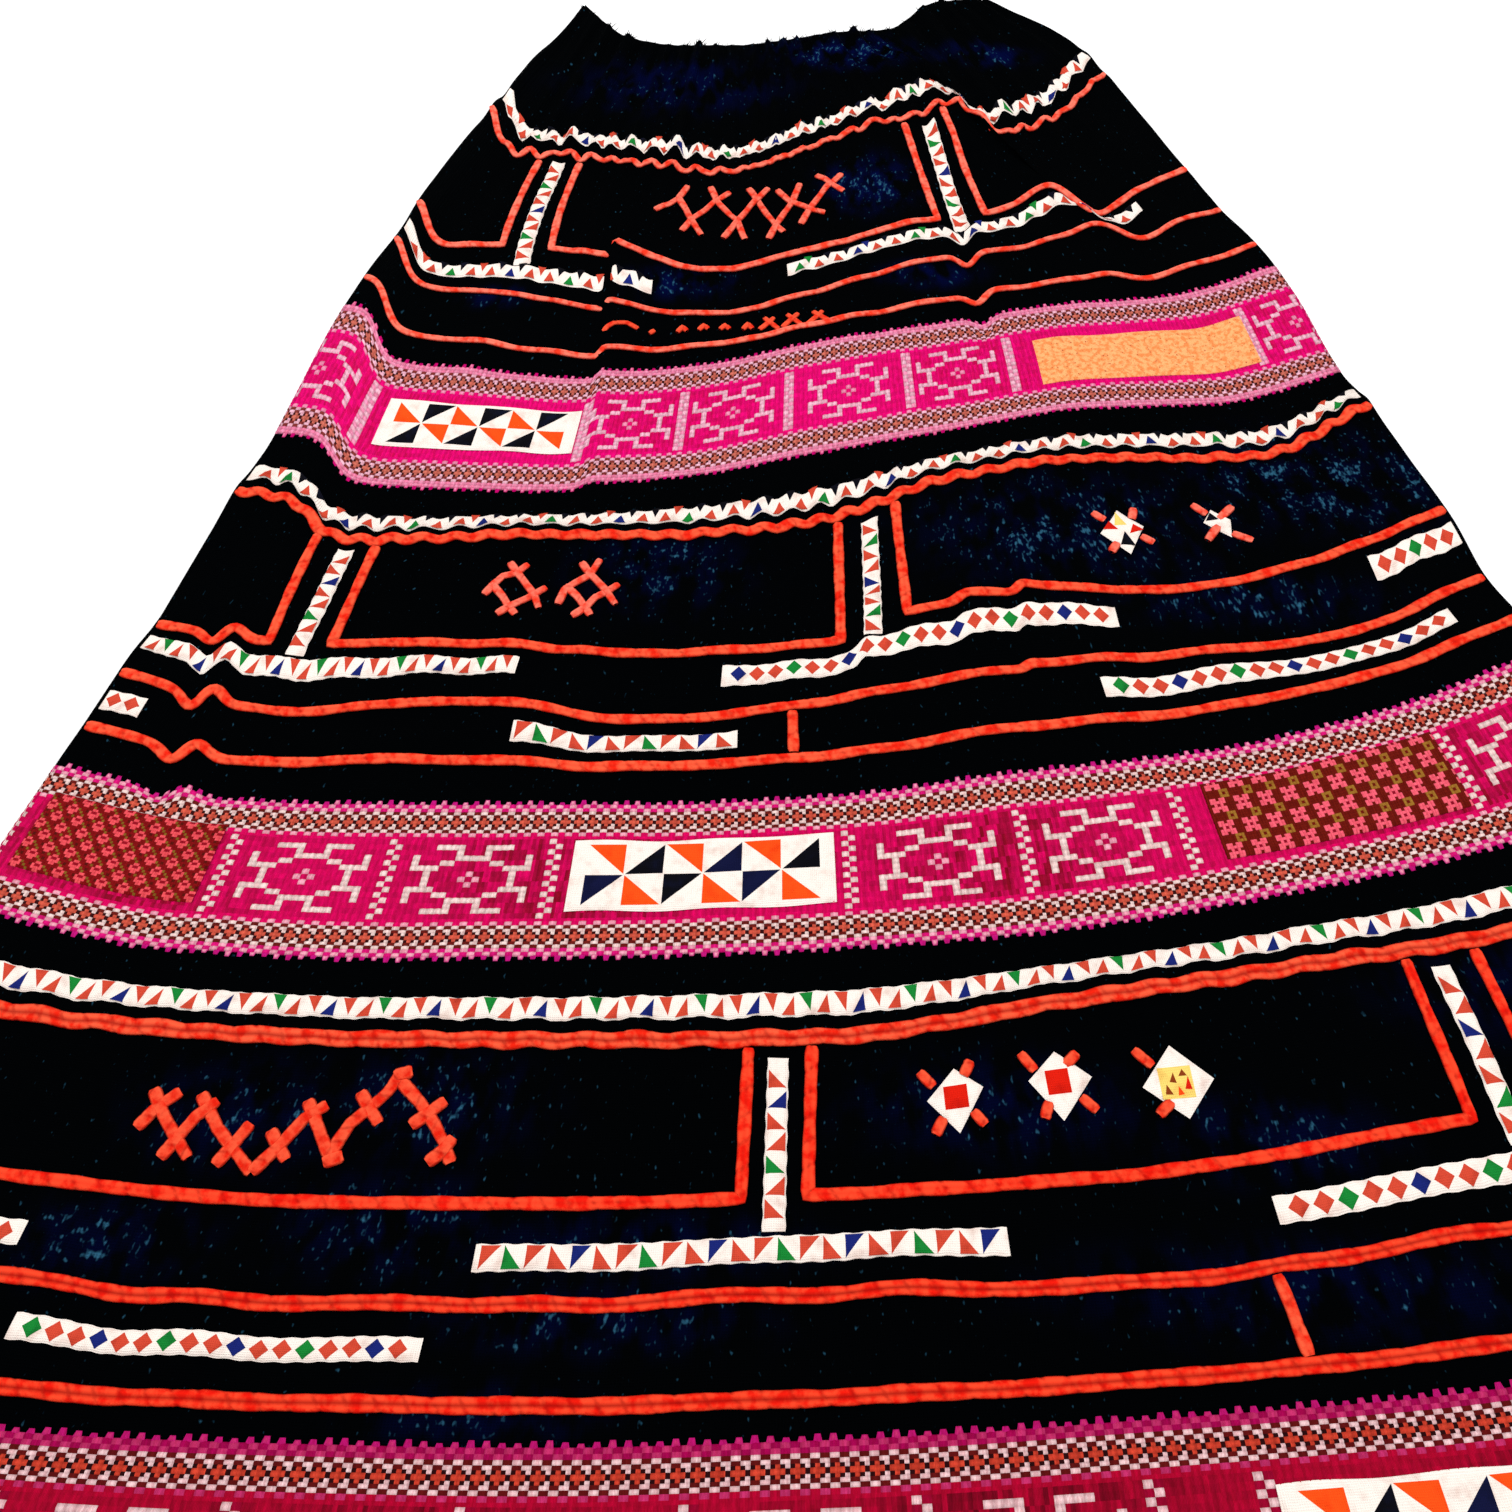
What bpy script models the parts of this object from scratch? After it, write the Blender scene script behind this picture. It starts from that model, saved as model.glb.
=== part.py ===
"""Tiered Hmong skirt laid flat on a surface, front up, with its hem towards -Y.

The skirt is a tube of eight cut pieces, one below the other: a gathered yoke, three plain
tiers and three embroidered bands by turns, and a narrow hem. Red cords, pieced strips and
patches are sewn on its front. Lengths in the tables are millimetres: across the skirt from
its axis, and along it from the lowest point of its hem.
"""
import math
from collections import namedtuple

import bmesh
import bpy
from mathutils import Vector

MM = 0.001

# Cloth: the front lies on the back, with a little air between them
WALL = 1.6
BAND_WALL = 2.1
LOFT = 4.6
BAND_RAISE = 0.5
EDGE_ROUND = 2.0
INNER_ROUND = 3.8
INNER_EDGE = 1.8
YOKE_EXTRA = 0.4

# Pieces sewn on the front
LIFT = 0.4
CORD_WIDTH = 6.0
CORD_HEIGHT = 2.2
STRIP_WIDTH = 11.0
UPRIGHT_STRIP_WIDTH = 9.5
STRIP_THICKNESS = 1.0
PATCH_THICKNESS = 1.0
SIDE_MARGIN = 0.982

# Two columns make one gather of the waist
GATHERS = 24
COLUMNS = 2 * GATHERS
BACK_COLUMNS = 8

# Shortest piece of a run, as a share of a column and as a length between rows
LEAST_COLUMN = 0.15
LEAST_ROW = 2.0
SHARP_ANGLE = 40.0

# Seams and lines across the skirt. Each row is one line: its height on the axis, its two ends
# on the outline, and how far it climbs above that height at even places from end to end.
Section = namedtuple("Section", "name height left right l4 l3 l2 l1 r1 r2 r3 r4")
SECTIONS = (
    Section("hem edge", 0, -520, 497, 26, 8, -1, -4, 4, 13, 30, 55),
    Section("band three top", 115, -489, 467, 25, 5, -1, -3, 7, 16, 33, 60),
    Section("tier three fold", 169, -472, 450, 26, 6, -4, -5, 3, 18, 39, 66),
    Section("tier three cord", 277, -436, 412, 21, 5, -1, -2, 17, 33, 51, 83),
    Section("band two foot", 320, -422, 398, 22, 0, -5, -4, 9, 26, 49, 85),
    Section("band two top", 399, -397, 371, 19, -2, -4, -4, 14, 26, 51, 91),
    Section("tier two fold", 457, -378, 349, 19, -6, 1, -11, 19, 28, 42, 83),
    Section("tier two frame foot", 492, -367, 340, 13, -1, 0, -7, 27, 32, 53, 93),
    Section("tier two cord", 575, -342, 316, -4, -14, -10, -10, 34, 47, 47, 91),
    Section("band one foot", 627, -327, 304, -22, -26, -29, -20, 18, 35, 39, 65),
    Section("band one top", 716, -303, 283, -16, -21, -31, -22, 16, 32, 40, 70),
    Section("tier one fold", 760, -280, 258, 5, 0, -14, -22, 28, 42, 57, 80),
    Section("tier one frame foot", 804, -268, 240, -1, 5, -4, -22, 25, 38, 50, 82),
    Section("yoke seam", 918, -222, 190, -5, -7, -14, -22, 30, 34, 30, 88),
    Section("waist edge", 1020, -175, 122, 45, 3, -6, -6, 10, 13, 47, 53),
)
STATIONS = (-1.0, -0.75, -0.5, -0.25, 0.0, 0.25, 0.5, 0.75, 1.0)

# Largest folds, each along a line through three heights. A step moves all that lies left of
# it up the skirt, a tooth moves what lies just right of it, a dip pulls the line itself down,
# and a roll lifts the cloth on its left and lowers it on its right.
Fold = namedtuple(
    "Fold", "name shape top_at top_x mid_at mid_x foot_at foot_x top mid foot fade width ridge"
)
FOLDS = (
    Fold("side pleat", "step", 948, -205, 770, -268, 590, -295, 65, 55, 30, 90, 11, 5.0),
    Fold("middle crease", "tooth", 812, -138, 700, -142, 600, -144, 14, 12, 10, 25, 5, 2.0),
    Fold("right crease", "dip", 825, 82, 765, 86, 715, 92, -6, -12, -8, 25, 9, 1.5),
    Fold("long slant", "roll", 948, 74, 830, 140, 760, 185, 15, 17, 10, 40, 20, 4.0),
    Fold("left ripple", "roll", 505, -326, 455, -330, 405, -334, -5, -7, -5, 20, 9, 1.5),
    Fold("tier two pinch", "tooth", 505, 8, 490, 8, 470, 8, 7, 9, 7, 15, 6, 1.0),
    Fold("tier two pucker", "tooth", 520, 62, 495, 62, 465, 62, 6, 6, 5, 10, 4, 0.8),
    Fold("tier two tuck", "tooth", 525, 94, 495, 94, 460, 94, 7, 8, 6, 12, 4, 0.8),
)
TOOTH_REACH = 45.0
RIDGE_SPREAD = 1.3

# Height of the waist's gathers above the loft, and how far they scallop the lines they cross
Gather = namedtuple("Gather", "at height scallop")
WAIST_GATHERS = (
    Gather(804, 0.0, 0.0),
    Gather(850, 0.8, 0.6),
    Gather(898, 2.4, 2.0),
    Gather(918, 3.6, 3.0),
    Gather(955, 5.0, 1.5),
    Gather(1020, 7.0, 3.5),
)

# The tube's pieces, 0.3 apart at their seams: where their outer and inner faces have rows
Tube = namedtuple("Tube", "name material wall rise outer inner")
TUBES = (
    Tube("hem", "indigo_cloth", WALL, 0.0, (0, 29.7), (0, 29.7)),
    Tube("band_3", "magenta_embroidery", BAND_WALL, BAND_RAISE, (30, 72, 115), (30, 115)),
    Tube("tier_3_cloth", "indigo_cloth", WALL, 0.0,
         (115.3, 133, 169, 210, 277, 295, 319.7), (115.3, 169, 277, 319.7)),
    Tube("band_2", "magenta_embroidery", BAND_WALL, BAND_RAISE, (320, 360, 399), (320, 399)),
    Tube("tier_2_cloth", "indigo_cloth", WALL, 0.0,
         (399.3, 427, 457, 493, 535, 575, 600, 626.7), (399.3, 457, 535, 626.7)),
    Tube("band_1", "magenta_embroidery", BAND_WALL, BAND_RAISE, (627, 672, 716), (627, 716)),
    Tube("tier_1_cloth", "indigo_cloth", WALL, 0.0,
         (716.3, 738, 760, 782, 804, 827, 850, 866, 880, 895, 901, 906.7),
         (716.3, 760, 804, 850, 880, 906.7)),
    Tube("waist_yoke", "indigo_cloth", WALL + YOKE_EXTRA, 0.0,
         (907, 912.5, 923.5, 955, 988, 1020), (907, 923.5, 955, 1020)),
)
ALL_ROWS = tuple(at for tube in TUBES for at in tube.outer)

# Cords and strips that run across the skirt, from one place to another at one height
Line = namedtuple("Line", "name kind at start end")
CORD_LINES = (
    Line("cord_1_top", "cord", 898, -SIDE_MARGIN, SIDE_MARGIN),
    Line("cord_1_upper", "cord", 760, -SIDE_MARGIN, SIDE_MARGIN),
    Line("cord_1_lower", "cord", 732, -SIDE_MARGIN, SIDE_MARGIN),
    Line("cord_2_top", "cord", 575, -SIDE_MARGIN, SIDE_MARGIN),
    Line("cord_2_upper", "cord", 455, -SIDE_MARGIN, SIDE_MARGIN),
    Line("cord_2_lower", "cord", 423, -SIDE_MARGIN, SIDE_MARGIN),
    Line("cord_3_top", "cord", 277, -SIDE_MARGIN, SIDE_MARGIN),
    Line("cord_3_upper", "cord", 169, -SIDE_MARGIN, SIDE_MARGIN),
    Line("cord_3_lower", "cord", 130, -SIDE_MARGIN, SIDE_MARGIN),
)
STRIP_LINES = (
    Line("triangle_strip_1", "strip", 918, -SIDE_MARGIN, SIDE_MARGIN),
    Line("triangle_strip_2", "strip", 592, -SIDE_MARGIN, SIDE_MARGIN),
    Line("triangle_strip_3", "strip", 293, -SIDE_MARGIN, SIDE_MARGIN),
    Line("foot_strip_1_left", "strip", 777, -SIDE_MARGIN, -0.380),
    Line("foot_strip_1_right", "strip", 786, -0.055, 0.832),
    Line("foot_strip_2_left", "strip", 478, -SIDE_MARGIN, -0.440),
    Line("foot_strip_2_middle", "strip", 477, -0.142, 0.443),
    Line("foot_strip_2_right", "strip", 479, 0.845, SIDE_MARGIN),
    Line("short_strip_2_left", "strip", 439, -SIDE_MARGIN, -0.935),
    Line("short_strip_2_middle", "strip", 439, -0.422, -0.114),
    Line("short_strip_2_right", "strip", 440, 0.395, 0.915),
    Line("foot_strip_3_left", "strip", 186, -SIDE_MARGIN, -0.746),
    Line("foot_strip_3_middle", "strip", 187, -0.334, 0.151),
    Line("foot_strip_3_right", "strip", 189, 0.400, 0.885),
    Line("short_strip_3_left", "strip", 151, -0.717, -0.363),
)

# Short pieces that run along the skirt between two lines
Upright = namedtuple("Upright", "name kind top top_at foot foot_at")
UPRIGHTS = (
    Upright("upright_strip_1_left", "strip", 889, -0.745, 783, -0.700),
    Upright("upright_strip_1_right", "strip", 889, 0.392, 792, 0.385),
    Upright("upright_strip_2_left", "strip", 566, -0.779, 485, -0.771),
    Upright("upright_strip_2_right", "strip", 566, 0.088, 484, 0.080),
    Upright("upright_strip_3_left", "strip", 268, -0.059, 194, -0.063),
    Upright("upright_strip_3_right", "strip", 268, 0.653, 196, 0.647),
    Upright("short_cord_2", "cord", 451.5, -0.038, 426.5, -0.038),
    Upright("short_cord_3", "cord", 165.5, 0.382, 133.5, 0.389),
)

# Red cord frames of the panels, each with its foot and one or both of its sides
Frame = namedtuple("Frame", "name top foot left_top left_foot right_foot right_top sides")
FRAMES = (
    Frame("frame_1_left", 893.5, 799, None, -SIDE_MARGIN, -0.764, -0.812, "right"),
    Frame("frame_1_middle", 893.5, 799, -0.688, -0.642, 0.331, 0.319, "both"),
    Frame("frame_1_right", 893.5, 799, 0.445, 0.453, SIDE_MARGIN, None, "left"),
    Frame("frame_2_left", 570.5, 492, None, -SIDE_MARGIN, -0.819, -0.832, "right"),
    Frame("frame_2_middle", 570.5, 492, -0.733, -0.725, 0.031, 0.035, "both"),
    Frame("frame_2_right", 570.5, 492, 0.133, 0.133, SIDE_MARGIN, None, "left"),
    Frame("frame_3_left", 272.5, 208, None, -SIDE_MARGIN, -0.094, -0.090, "right"),
    Frame("frame_3_middle", 272.5, 208, -0.024, -0.031, 0.611, 0.618, "both"),
    Frame("frame_3_right", 272.5, 208, 0.696, 0.690, SIDE_MARGIN, None, "left"),
)

# Cloth patches set on the bands
Patch = namedtuple("Patch", "name material start end foot top")
PATCHES = (
    Patch("pinwheel_patch_1", "pinwheel_cotton", -0.835, -0.460, 655, 689),
    Patch("orange_patch_1", "orange_cotton", 0.435, 0.865, 650, 688),
    Patch("brown_patch_2_left", "brown_cotton", -0.962, -0.745, 343, 385),
    Patch("pinwheel_patch_2", "pinwheel_cotton", -0.310, 0.008, 342, 379),
    Patch("brown_patch_2_right", "brown_cotton", 0.473, 0.785, 341, 382),
    Patch("pinwheel_patch_3", "pinwheel_cotton", 0.333, 0.590, 52, 90),
)

# Small patches set cornerwise on the panels: where the middle lies, and their half size
Diamond = namedtuple("Diamond", "name across at half_width half_height")
DIAMONDS = (
    Diamond("cross_patch_2_left", 0.493, 527, 12.0, 14.0),
    Diamond("cross_patch_2_right", 0.652, 530, 10.5, 12.0),
    Diamond("diamond_patch_3_left", 0.119, 244, 12.5, 14.0),
    Diamond("diamond_patch_3_middle", 0.221, 244, 13.0, 14.5),
    Diamond("diamond_patch_3_right", 0.341, 238, 15.5, 15.0),
)

# Colour, roughness
MATERIALS = {
    "indigo_cloth": ((0.008, 0.010, 0.022), 0.85),
    "magenta_embroidery": ((0.620, 0.020, 0.180), 0.75),
    "red_cord": ((0.720, 0.050, 0.020), 0.65),
    "pieced_strip": ((0.850, 0.800, 0.720), 0.80),
    "pinwheel_cotton": ((0.900, 0.830, 0.700), 0.80),
    "orange_cotton": ((0.820, 0.400, 0.100), 0.80),
    "brown_cotton": ((0.250, 0.090, 0.030), 0.80),
}


def smooth_through(places, values, at):
    """Value at a place on a smooth curve through the given ones, which never overshoots them."""
    if at <= places[0]:
        return values[0]
    if at >= places[-1]:
        return values[-1]
    last = len(places) - 2
    cell = max(i for i in range(last + 1) if places[i] <= at)
    slopes = [(values[i + 1] - values[i]) / (places[i + 1] - places[i]) for i in range(last + 1)]

    def tangent(i):
        if i == 0 or i == last + 1:
            return slopes[0] if i == 0 else slopes[-1]
        before, after = slopes[i - 1], slopes[i]
        return 0.0 if before * after <= 0.0 else 2.0 * before * after / (before + after)

    span = places[cell + 1] - places[cell]
    u = (at - places[cell]) / span
    return (
        (1 + 2 * u) * (1 - u) ** 2 * values[cell]
        + u * (1 - u) ** 2 * span * tangent(cell)
        + u * u * (3 - 2 * u) * values[cell + 1]
        - u * u * (1 - u) * span * tangent(cell + 1)
    )


def section_climb(section, across):
    """How far a section's line climbs above its height on the axis."""
    climbs = (section.l4, section.l3, section.l2, section.l1, 0,
              section.r1, section.r2, section.r3, section.r4)
    return smooth_through(STATIONS, climbs, across)


def fold_strength(fold, at):
    """Size of a fold at one height: it dies away above its top and below its foot."""
    sizes = (0.0, fold.foot, fold.mid, fold.top, 0.0)
    heights = (fold.foot_at - fold.fade, fold.foot_at, fold.mid_at, fold.top_at,
               fold.top_at + fold.fade)
    return smooth_through(heights, sizes, at)


def fold_place(fold, at):
    """Where a fold's line crosses one height."""
    heights = (fold.foot_at, fold.mid_at, fold.top_at)
    return smooth_through(heights, (fold.foot_x, fold.mid_x, fold.top_x), at)


def fold_shift(fold, x, at):
    """How far a fold moves the cloth along the skirt."""
    size = fold_strength(fold, at)
    reach = (x - fold_place(fold, at)) / fold.width
    if fold.shape == "step":
        return size * 0.5 * (1.0 - math.tanh(reach))
    if fold.shape == "tooth":
        rise = 0.5 * (1.0 + math.tanh(reach))
        return size * rise * math.exp(-max(reach, 0.0) * fold.width / TOOTH_REACH)
    if fold.shape == "dip":
        return size * math.exp(-reach * reach)
    return -size * reach * math.exp(0.5 - 0.5 * reach * reach)


def fold_ridge(fold, x, at):
    """How high a fold stands above the cloth beside it."""
    largest = max(abs(fold.top), abs(fold.mid), abs(fold.foot))
    reach = (x - fold_place(fold, at)) / (RIDGE_SPREAD * fold.width)
    return fold.ridge * abs(fold_strength(fold, at)) / largest * math.exp(-reach * reach)


def gather_wave(across):
    """One at the crest of a gather and zero in its trough."""
    return 0.5 + 0.5 * math.cos(math.pi * GATHERS * (across + 1.0))


def cloth_point(across, at):
    """Point of the front's outer face: across runs from -1 to 1, side to side."""
    heights = tuple(section.height for section in SECTIONS)
    left = smooth_through(heights, tuple(section.left for section in SECTIONS), at)
    right = smooth_through(heights, tuple(section.right for section in SECTIONS), at)
    climb = smooth_through(heights, tuple(section_climb(s, across) for s in SECTIONS), at)
    x = 0.5 * (left + right) + 0.5 * (right - left) * across
    gather_heights = tuple(gather.at for gather in WAIST_GATHERS)
    crest = smooth_through(gather_heights, tuple(g.height for g in WAIST_GATHERS), at)
    scallop = smooth_through(gather_heights, tuple(g.scallop for g in WAIST_GATHERS), at)
    y = at + climb + sum(fold_shift(fold, x, at) for fold in FOLDS)
    y += scallop * (gather_wave(across) - 0.5)
    z = LOFT + sum(fold_ridge(fold, x, at) for fold in FOLDS) + crest * gather_wave(across)
    return Vector((x, y, z))


def outline_middle():
    """Middle of the box around the whole skirt, which becomes the origin."""
    hem = [cloth_point(2.0 * i / COLUMNS - 1.0, SECTIONS[0].height) for i in range(COLUMNS + 1)]
    waist = [cloth_point(2.0 * i / COLUMNS - 1.0, SECTIONS[-1].height) for i in range(COLUMNS + 1)]
    middle_x = 0.5 * (min(p.x for p in hem) + max(p.x for p in hem))
    middle_y = 0.5 * (min(p.y for p in hem) + max(p.y for p in waist))
    return Vector((middle_x, middle_y, 0.0))


MIDDLE = outline_middle()


def placed(point):
    """A point of the skirt in metres from the origin."""
    return (point - MIDDLE) * MM


def cell_of(knots, value):
    """The pair of neighbouring knots around a value, and how far along it lies."""
    cell = max(i for i in range(len(knots) - 1) if knots[i] <= value or i == 0)
    low, high = knots[cell], knots[cell + 1]
    return low, high, (value - low) / (high - low)


def column_places():
    """Places of the columns across the front."""
    return [2.0 * i / COLUMNS - 1.0 for i in range(COLUMNS + 1)]


def half_width_at(at):
    """Half of the skirt's flat width at one height."""
    return 0.5 * (cloth_point(1.0, at).x - cloth_point(-1.0, at).x)


def inset_point(across, at, inset):
    """Point of the cloth, drawn in from the outline by an inset where it lies on it."""
    reach = 1.0 - inset / half_width_at(at)
    return cloth_point(max(-reach, min(reach, across)), at)


def wall_corner(across, at):
    """Corner of the front wall's outer face."""
    return inset_point(across, at, EDGE_ROUND)


def on_cloth(across, at, lift):
    """Point above the flat faces of the front wall, which are straight between its columns."""
    west, east, u = cell_of(column_places(), across)
    low, high, v = cell_of(ALL_ROWS, at)
    foot = wall_corner(west, low).lerp(wall_corner(east, low), u)
    top = wall_corner(west, high).lerp(wall_corner(east, high), u)
    point = foot.lerp(top, v)
    point.z += lift
    return point


def tube_ring(at, wall, rise, inner):
    """Closed ring of the tube at one height: front, right edge, back and left edge."""
    inset = INNER_ROUND if inner else EDGE_ROUND
    front = [inset_point(across, at, inset) for across in column_places()]
    for point in front:
        point.z += rise - (wall if inner else 0.0)
    edges = [inset_point(across, at, INNER_EDGE if inner else 0.0) for across in (1.0, -1.0)]
    for edge in edges:
        edge.z = 0.5 * (edge.z + rise)
    back = [inset_point(1.0 - 2.0 * i / BACK_COLUMNS, at, inset) for i in range(BACK_COLUMNS + 1)]
    for point in back:
        point.z = wall if inner else 0.0
    return front + edges[:1] + back + edges[1:]


def bridge_rings(mesh, first, second, leaning_back=False):
    """Triangles between two rings of as many corners each, all split the same way."""
    count = len(first)
    for i in range(count):
        j = (i + 1) % count
        if leaning_back:
            mesh.faces.new((first[i], first[j], second[i]))
            mesh.faces.new((first[j], second[j], second[i]))
        else:
            mesh.faces.new((first[i], first[j], second[j]))
            mesh.faces.new((first[i], second[j], second[i]))


def finish_object(mesh, name, material_name, collection, materials):
    """Closes the mesh's data into a named object with its material."""
    bmesh.ops.recalc_face_normals(mesh, faces=mesh.faces)
    data = bpy.data.meshes.new(name)
    mesh.to_mesh(data)
    mesh.free()
    data.materials.append(materials[material_name])
    part = bpy.data.objects.new(name, data)
    collection.objects.link(part)
    data.shade_smooth()
    data.set_sharp_from_angle(angle=math.radians(SHARP_ANGLE))
    return part


def build_tube(tube, collection, materials):
    """One piece of the skirt: an outer and an inner face, joined at its top and foot."""
    mesh = bmesh.new()
    outer = [[mesh.verts.new(placed(p)) for p in tube_ring(at, tube.wall, tube.rise, False)]
             for at in tube.outer]
    inner = [[mesh.verts.new(placed(p)) for p in tube_ring(at, tube.wall, tube.rise, True)]
             for at in tube.inner]
    for rings in (outer, inner):
        for low, high in zip(rings, rings[1:]):
            bridge_rings(mesh, low, high)
    bridge_rings(mesh, outer[0], inner[0])
    bridge_rings(mesh, outer[-1], inner[-1])
    return finish_object(mesh, tube.name, tube.material, collection, materials)


def build_run(name, material_name, sections, collection, materials):
    """A solid through a run of sections, closed at both ends, split as the wall below it."""
    mesh = bmesh.new()
    rings = [[mesh.verts.new(placed(p)) for p in section] for section in sections]
    for near, far in zip(rings, rings[1:]):
        bridge_rings(mesh, near, far, leaning_back=True)
    mesh.faces.new(rings[0])
    mesh.faces.new(rings[-1])
    return finish_object(mesh, name, material_name, collection, materials)


def profile(low_side, high_side, kind, rise=0.0):
    """Section of a cord, peaked, or of a strip, flat, between its two sides on the cloth."""
    low = on_cloth(*low_side, LIFT + rise)
    high = on_cloth(*high_side, LIFT + rise)
    if kind == "cord":
        crest = low.lerp(high, 0.5)
        crest.z += CORD_HEIGHT
        return [low, crest, high]
    top_of_high = high + Vector((0.0, 0.0, STRIP_THICKNESS))
    top_of_low = low + Vector((0.0, 0.0, STRIP_THICKNESS))
    return [low, top_of_low, top_of_high, high]


def places_between(start, end):
    """A run's two ends and the columns between them."""
    least = LEAST_COLUMN * 2.0 / COLUMNS
    inside = [p for p in column_places() if start + least < p < end - least]
    return [start] + inside + [end]


def heights_between(foot, top):
    """An upright's two ends and the wall's rows between them."""
    inside = sorted({at for at in ALL_ROWS if foot + LEAST_ROW < at < top - LEAST_ROW})
    return [foot] + inside + [top]


def build_line(line, collection, materials):
    """A cord or strip across the skirt."""
    half = 0.5 * (CORD_WIDTH if line.kind == "cord" else STRIP_WIDTH)
    material_name = "red_cord" if line.kind == "cord" else "pieced_strip"
    sections = [profile((across, line.at - half), (across, line.at + half), line.kind)
                for across in places_between(line.start, line.end)]
    return build_run(line.name, material_name, sections, collection, materials)


def crest_between(west, east, at):
    """How high the wall's columns stand above a straight line between two places on it."""
    crest = 0.0
    for across in column_places():
        if west < across < east:
            share = (across - west) / (east - west)
            chord = on_cloth(west, at, 0.0).lerp(on_cloth(east, at, 0.0), share)
            crest = max(crest, on_cloth(across, at, 0.0).z - chord.z)
    return crest


def upright_sections(foot, foot_at, top, top_at, half, kind):
    """Sections of a piece that runs up the skirt and lies on its crests."""
    sections = []
    for at in heights_between(foot, top):
        across = foot_at + (top_at - foot_at) * (at - foot) / (top - foot)
        side = half / half_width_at(at)
        rise = crest_between(across - side, across + side, at)
        sections.append(profile((across + side, at), (across - side, at), kind, rise))
    return sections


def build_upright(upright, collection, materials):
    """A cord or strip up the skirt."""
    half = 0.5 * (CORD_WIDTH if upright.kind == "cord" else UPRIGHT_STRIP_WIDTH)
    material_name = "red_cord" if upright.kind == "cord" else "pieced_strip"
    sections = upright_sections(upright.foot, upright.foot_at, upright.top, upright.top_at,
                                half, upright.kind)
    return build_run(upright.name, material_name, sections, collection, materials)


def build_frame(frame, collection, materials):
    """The cord around a panel's foot and sides, mitred at its corners."""
    half = 0.5 * CORD_WIDTH
    corner = half / half_width_at(frame.foot)
    start, end = frame.left_foot, frame.right_foot
    sections = []
    if frame.sides in ("left", "both"):
        rising = upright_sections(frame.foot + half, start, frame.top, frame.left_top,
                                  half, "cord")
        sections += [[section[2], section[1], section[0]] for section in reversed(rising)][:-1]
        sections.append(profile((start - corner, frame.foot - half),
                                (start + corner, frame.foot + half), "cord"))
        start += corner
    foot_places = places_between(start, end)
    if frame.sides in ("left", "both"):
        foot_places = foot_places[1:]
    if frame.sides in ("right", "both"):
        foot_places = foot_places[:-1]
    sections += [profile((across, frame.foot - half), (across, frame.foot + half), "cord")
                 for across in foot_places]
    if frame.sides in ("right", "both"):
        sections.append(profile((end + corner, frame.foot - half),
                                (end - corner, frame.foot + half), "cord"))
        rising = upright_sections(frame.foot + half, end, frame.top, frame.right_top,
                                  half, "cord")
        sections += rising[1:]
    return build_run(frame.name, "red_cord", sections, collection, materials)


def build_patch(patch, collection, materials):
    """A flat patch on a band."""
    sections = []
    for across in places_between(patch.start, patch.end):
        low = on_cloth(across, patch.foot, LIFT + BAND_RAISE)
        middle = on_cloth(across, 0.5 * (patch.foot + patch.top), LIFT + BAND_RAISE)
        high = on_cloth(across, patch.top, LIFT + BAND_RAISE)
        thick = Vector((0.0, 0.0, PATCH_THICKNESS))
        sections.append([low, low + thick, middle + thick, high + thick, high, middle])
    return build_run(patch.name, patch.material, sections, collection, materials)


def build_diamond(diamond, collection, materials):
    """A small square patch set on its corner."""
    side = diamond.half_width / half_width_at(diamond.at)
    foot, top = diamond.at - diamond.half_height, diamond.at + diamond.half_height
    corners = ((diamond.across - side, diamond.at), (diamond.across, foot),
               (diamond.across + side, diamond.at), (diamond.across, top))
    under = [on_cloth(across, at, LIFT) for across, at in corners]
    over = [point + Vector((0.0, 0.0, PATCH_THICKNESS)) for point in under]
    return build_run(diamond.name, "pinwheel_cotton", [under, over], collection, materials)


def make_materials():
    """Plain materials in the colours of the cloths."""
    made = {}
    for name, (colour, roughness) in MATERIALS.items():
        material = bpy.data.materials.new(name)
        material.use_nodes = True
        shader = material.node_tree.nodes["Principled BSDF"]
        shader.inputs["Base Color"].default_value = (*colour, 1.0)
        shader.inputs["Roughness"].default_value = roughness
        shader.inputs["Metallic"].default_value = 0.0
        made[name] = material
    return made


def main():
    """Builds the skirt."""
    for old in list(bpy.data.objects):
        bpy.data.objects.remove(old, do_unlink=True)
    collection = bpy.data.collections.new("hmong_skirt")
    bpy.context.scene.collection.children.link(collection)
    materials = make_materials()
    for tube in TUBES:
        build_tube(tube, collection, materials)
    for line in CORD_LINES + STRIP_LINES:
        build_line(line, collection, materials)
    for upright in UPRIGHTS:
        build_upright(upright, collection, materials)
    for frame in FRAMES:
        build_frame(frame, collection, materials)
    for patch in PATCHES:
        build_patch(patch, collection, materials)
    for diamond in DIAMONDS:
        build_diamond(diamond, collection, materials)


main()
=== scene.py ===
"""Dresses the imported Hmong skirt: woven cloth, stitched bands, wool cords and pieced cottons.

Lengths are millimetres: across the skirt from its axis, and up it from the lowest point of its
hem. A place across the skirt runs from -1 to 1, from side to side.
"""
import logging
import math
from collections.abc import Callable, Sequence
from dataclasses import dataclass
from enum import Enum

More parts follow.
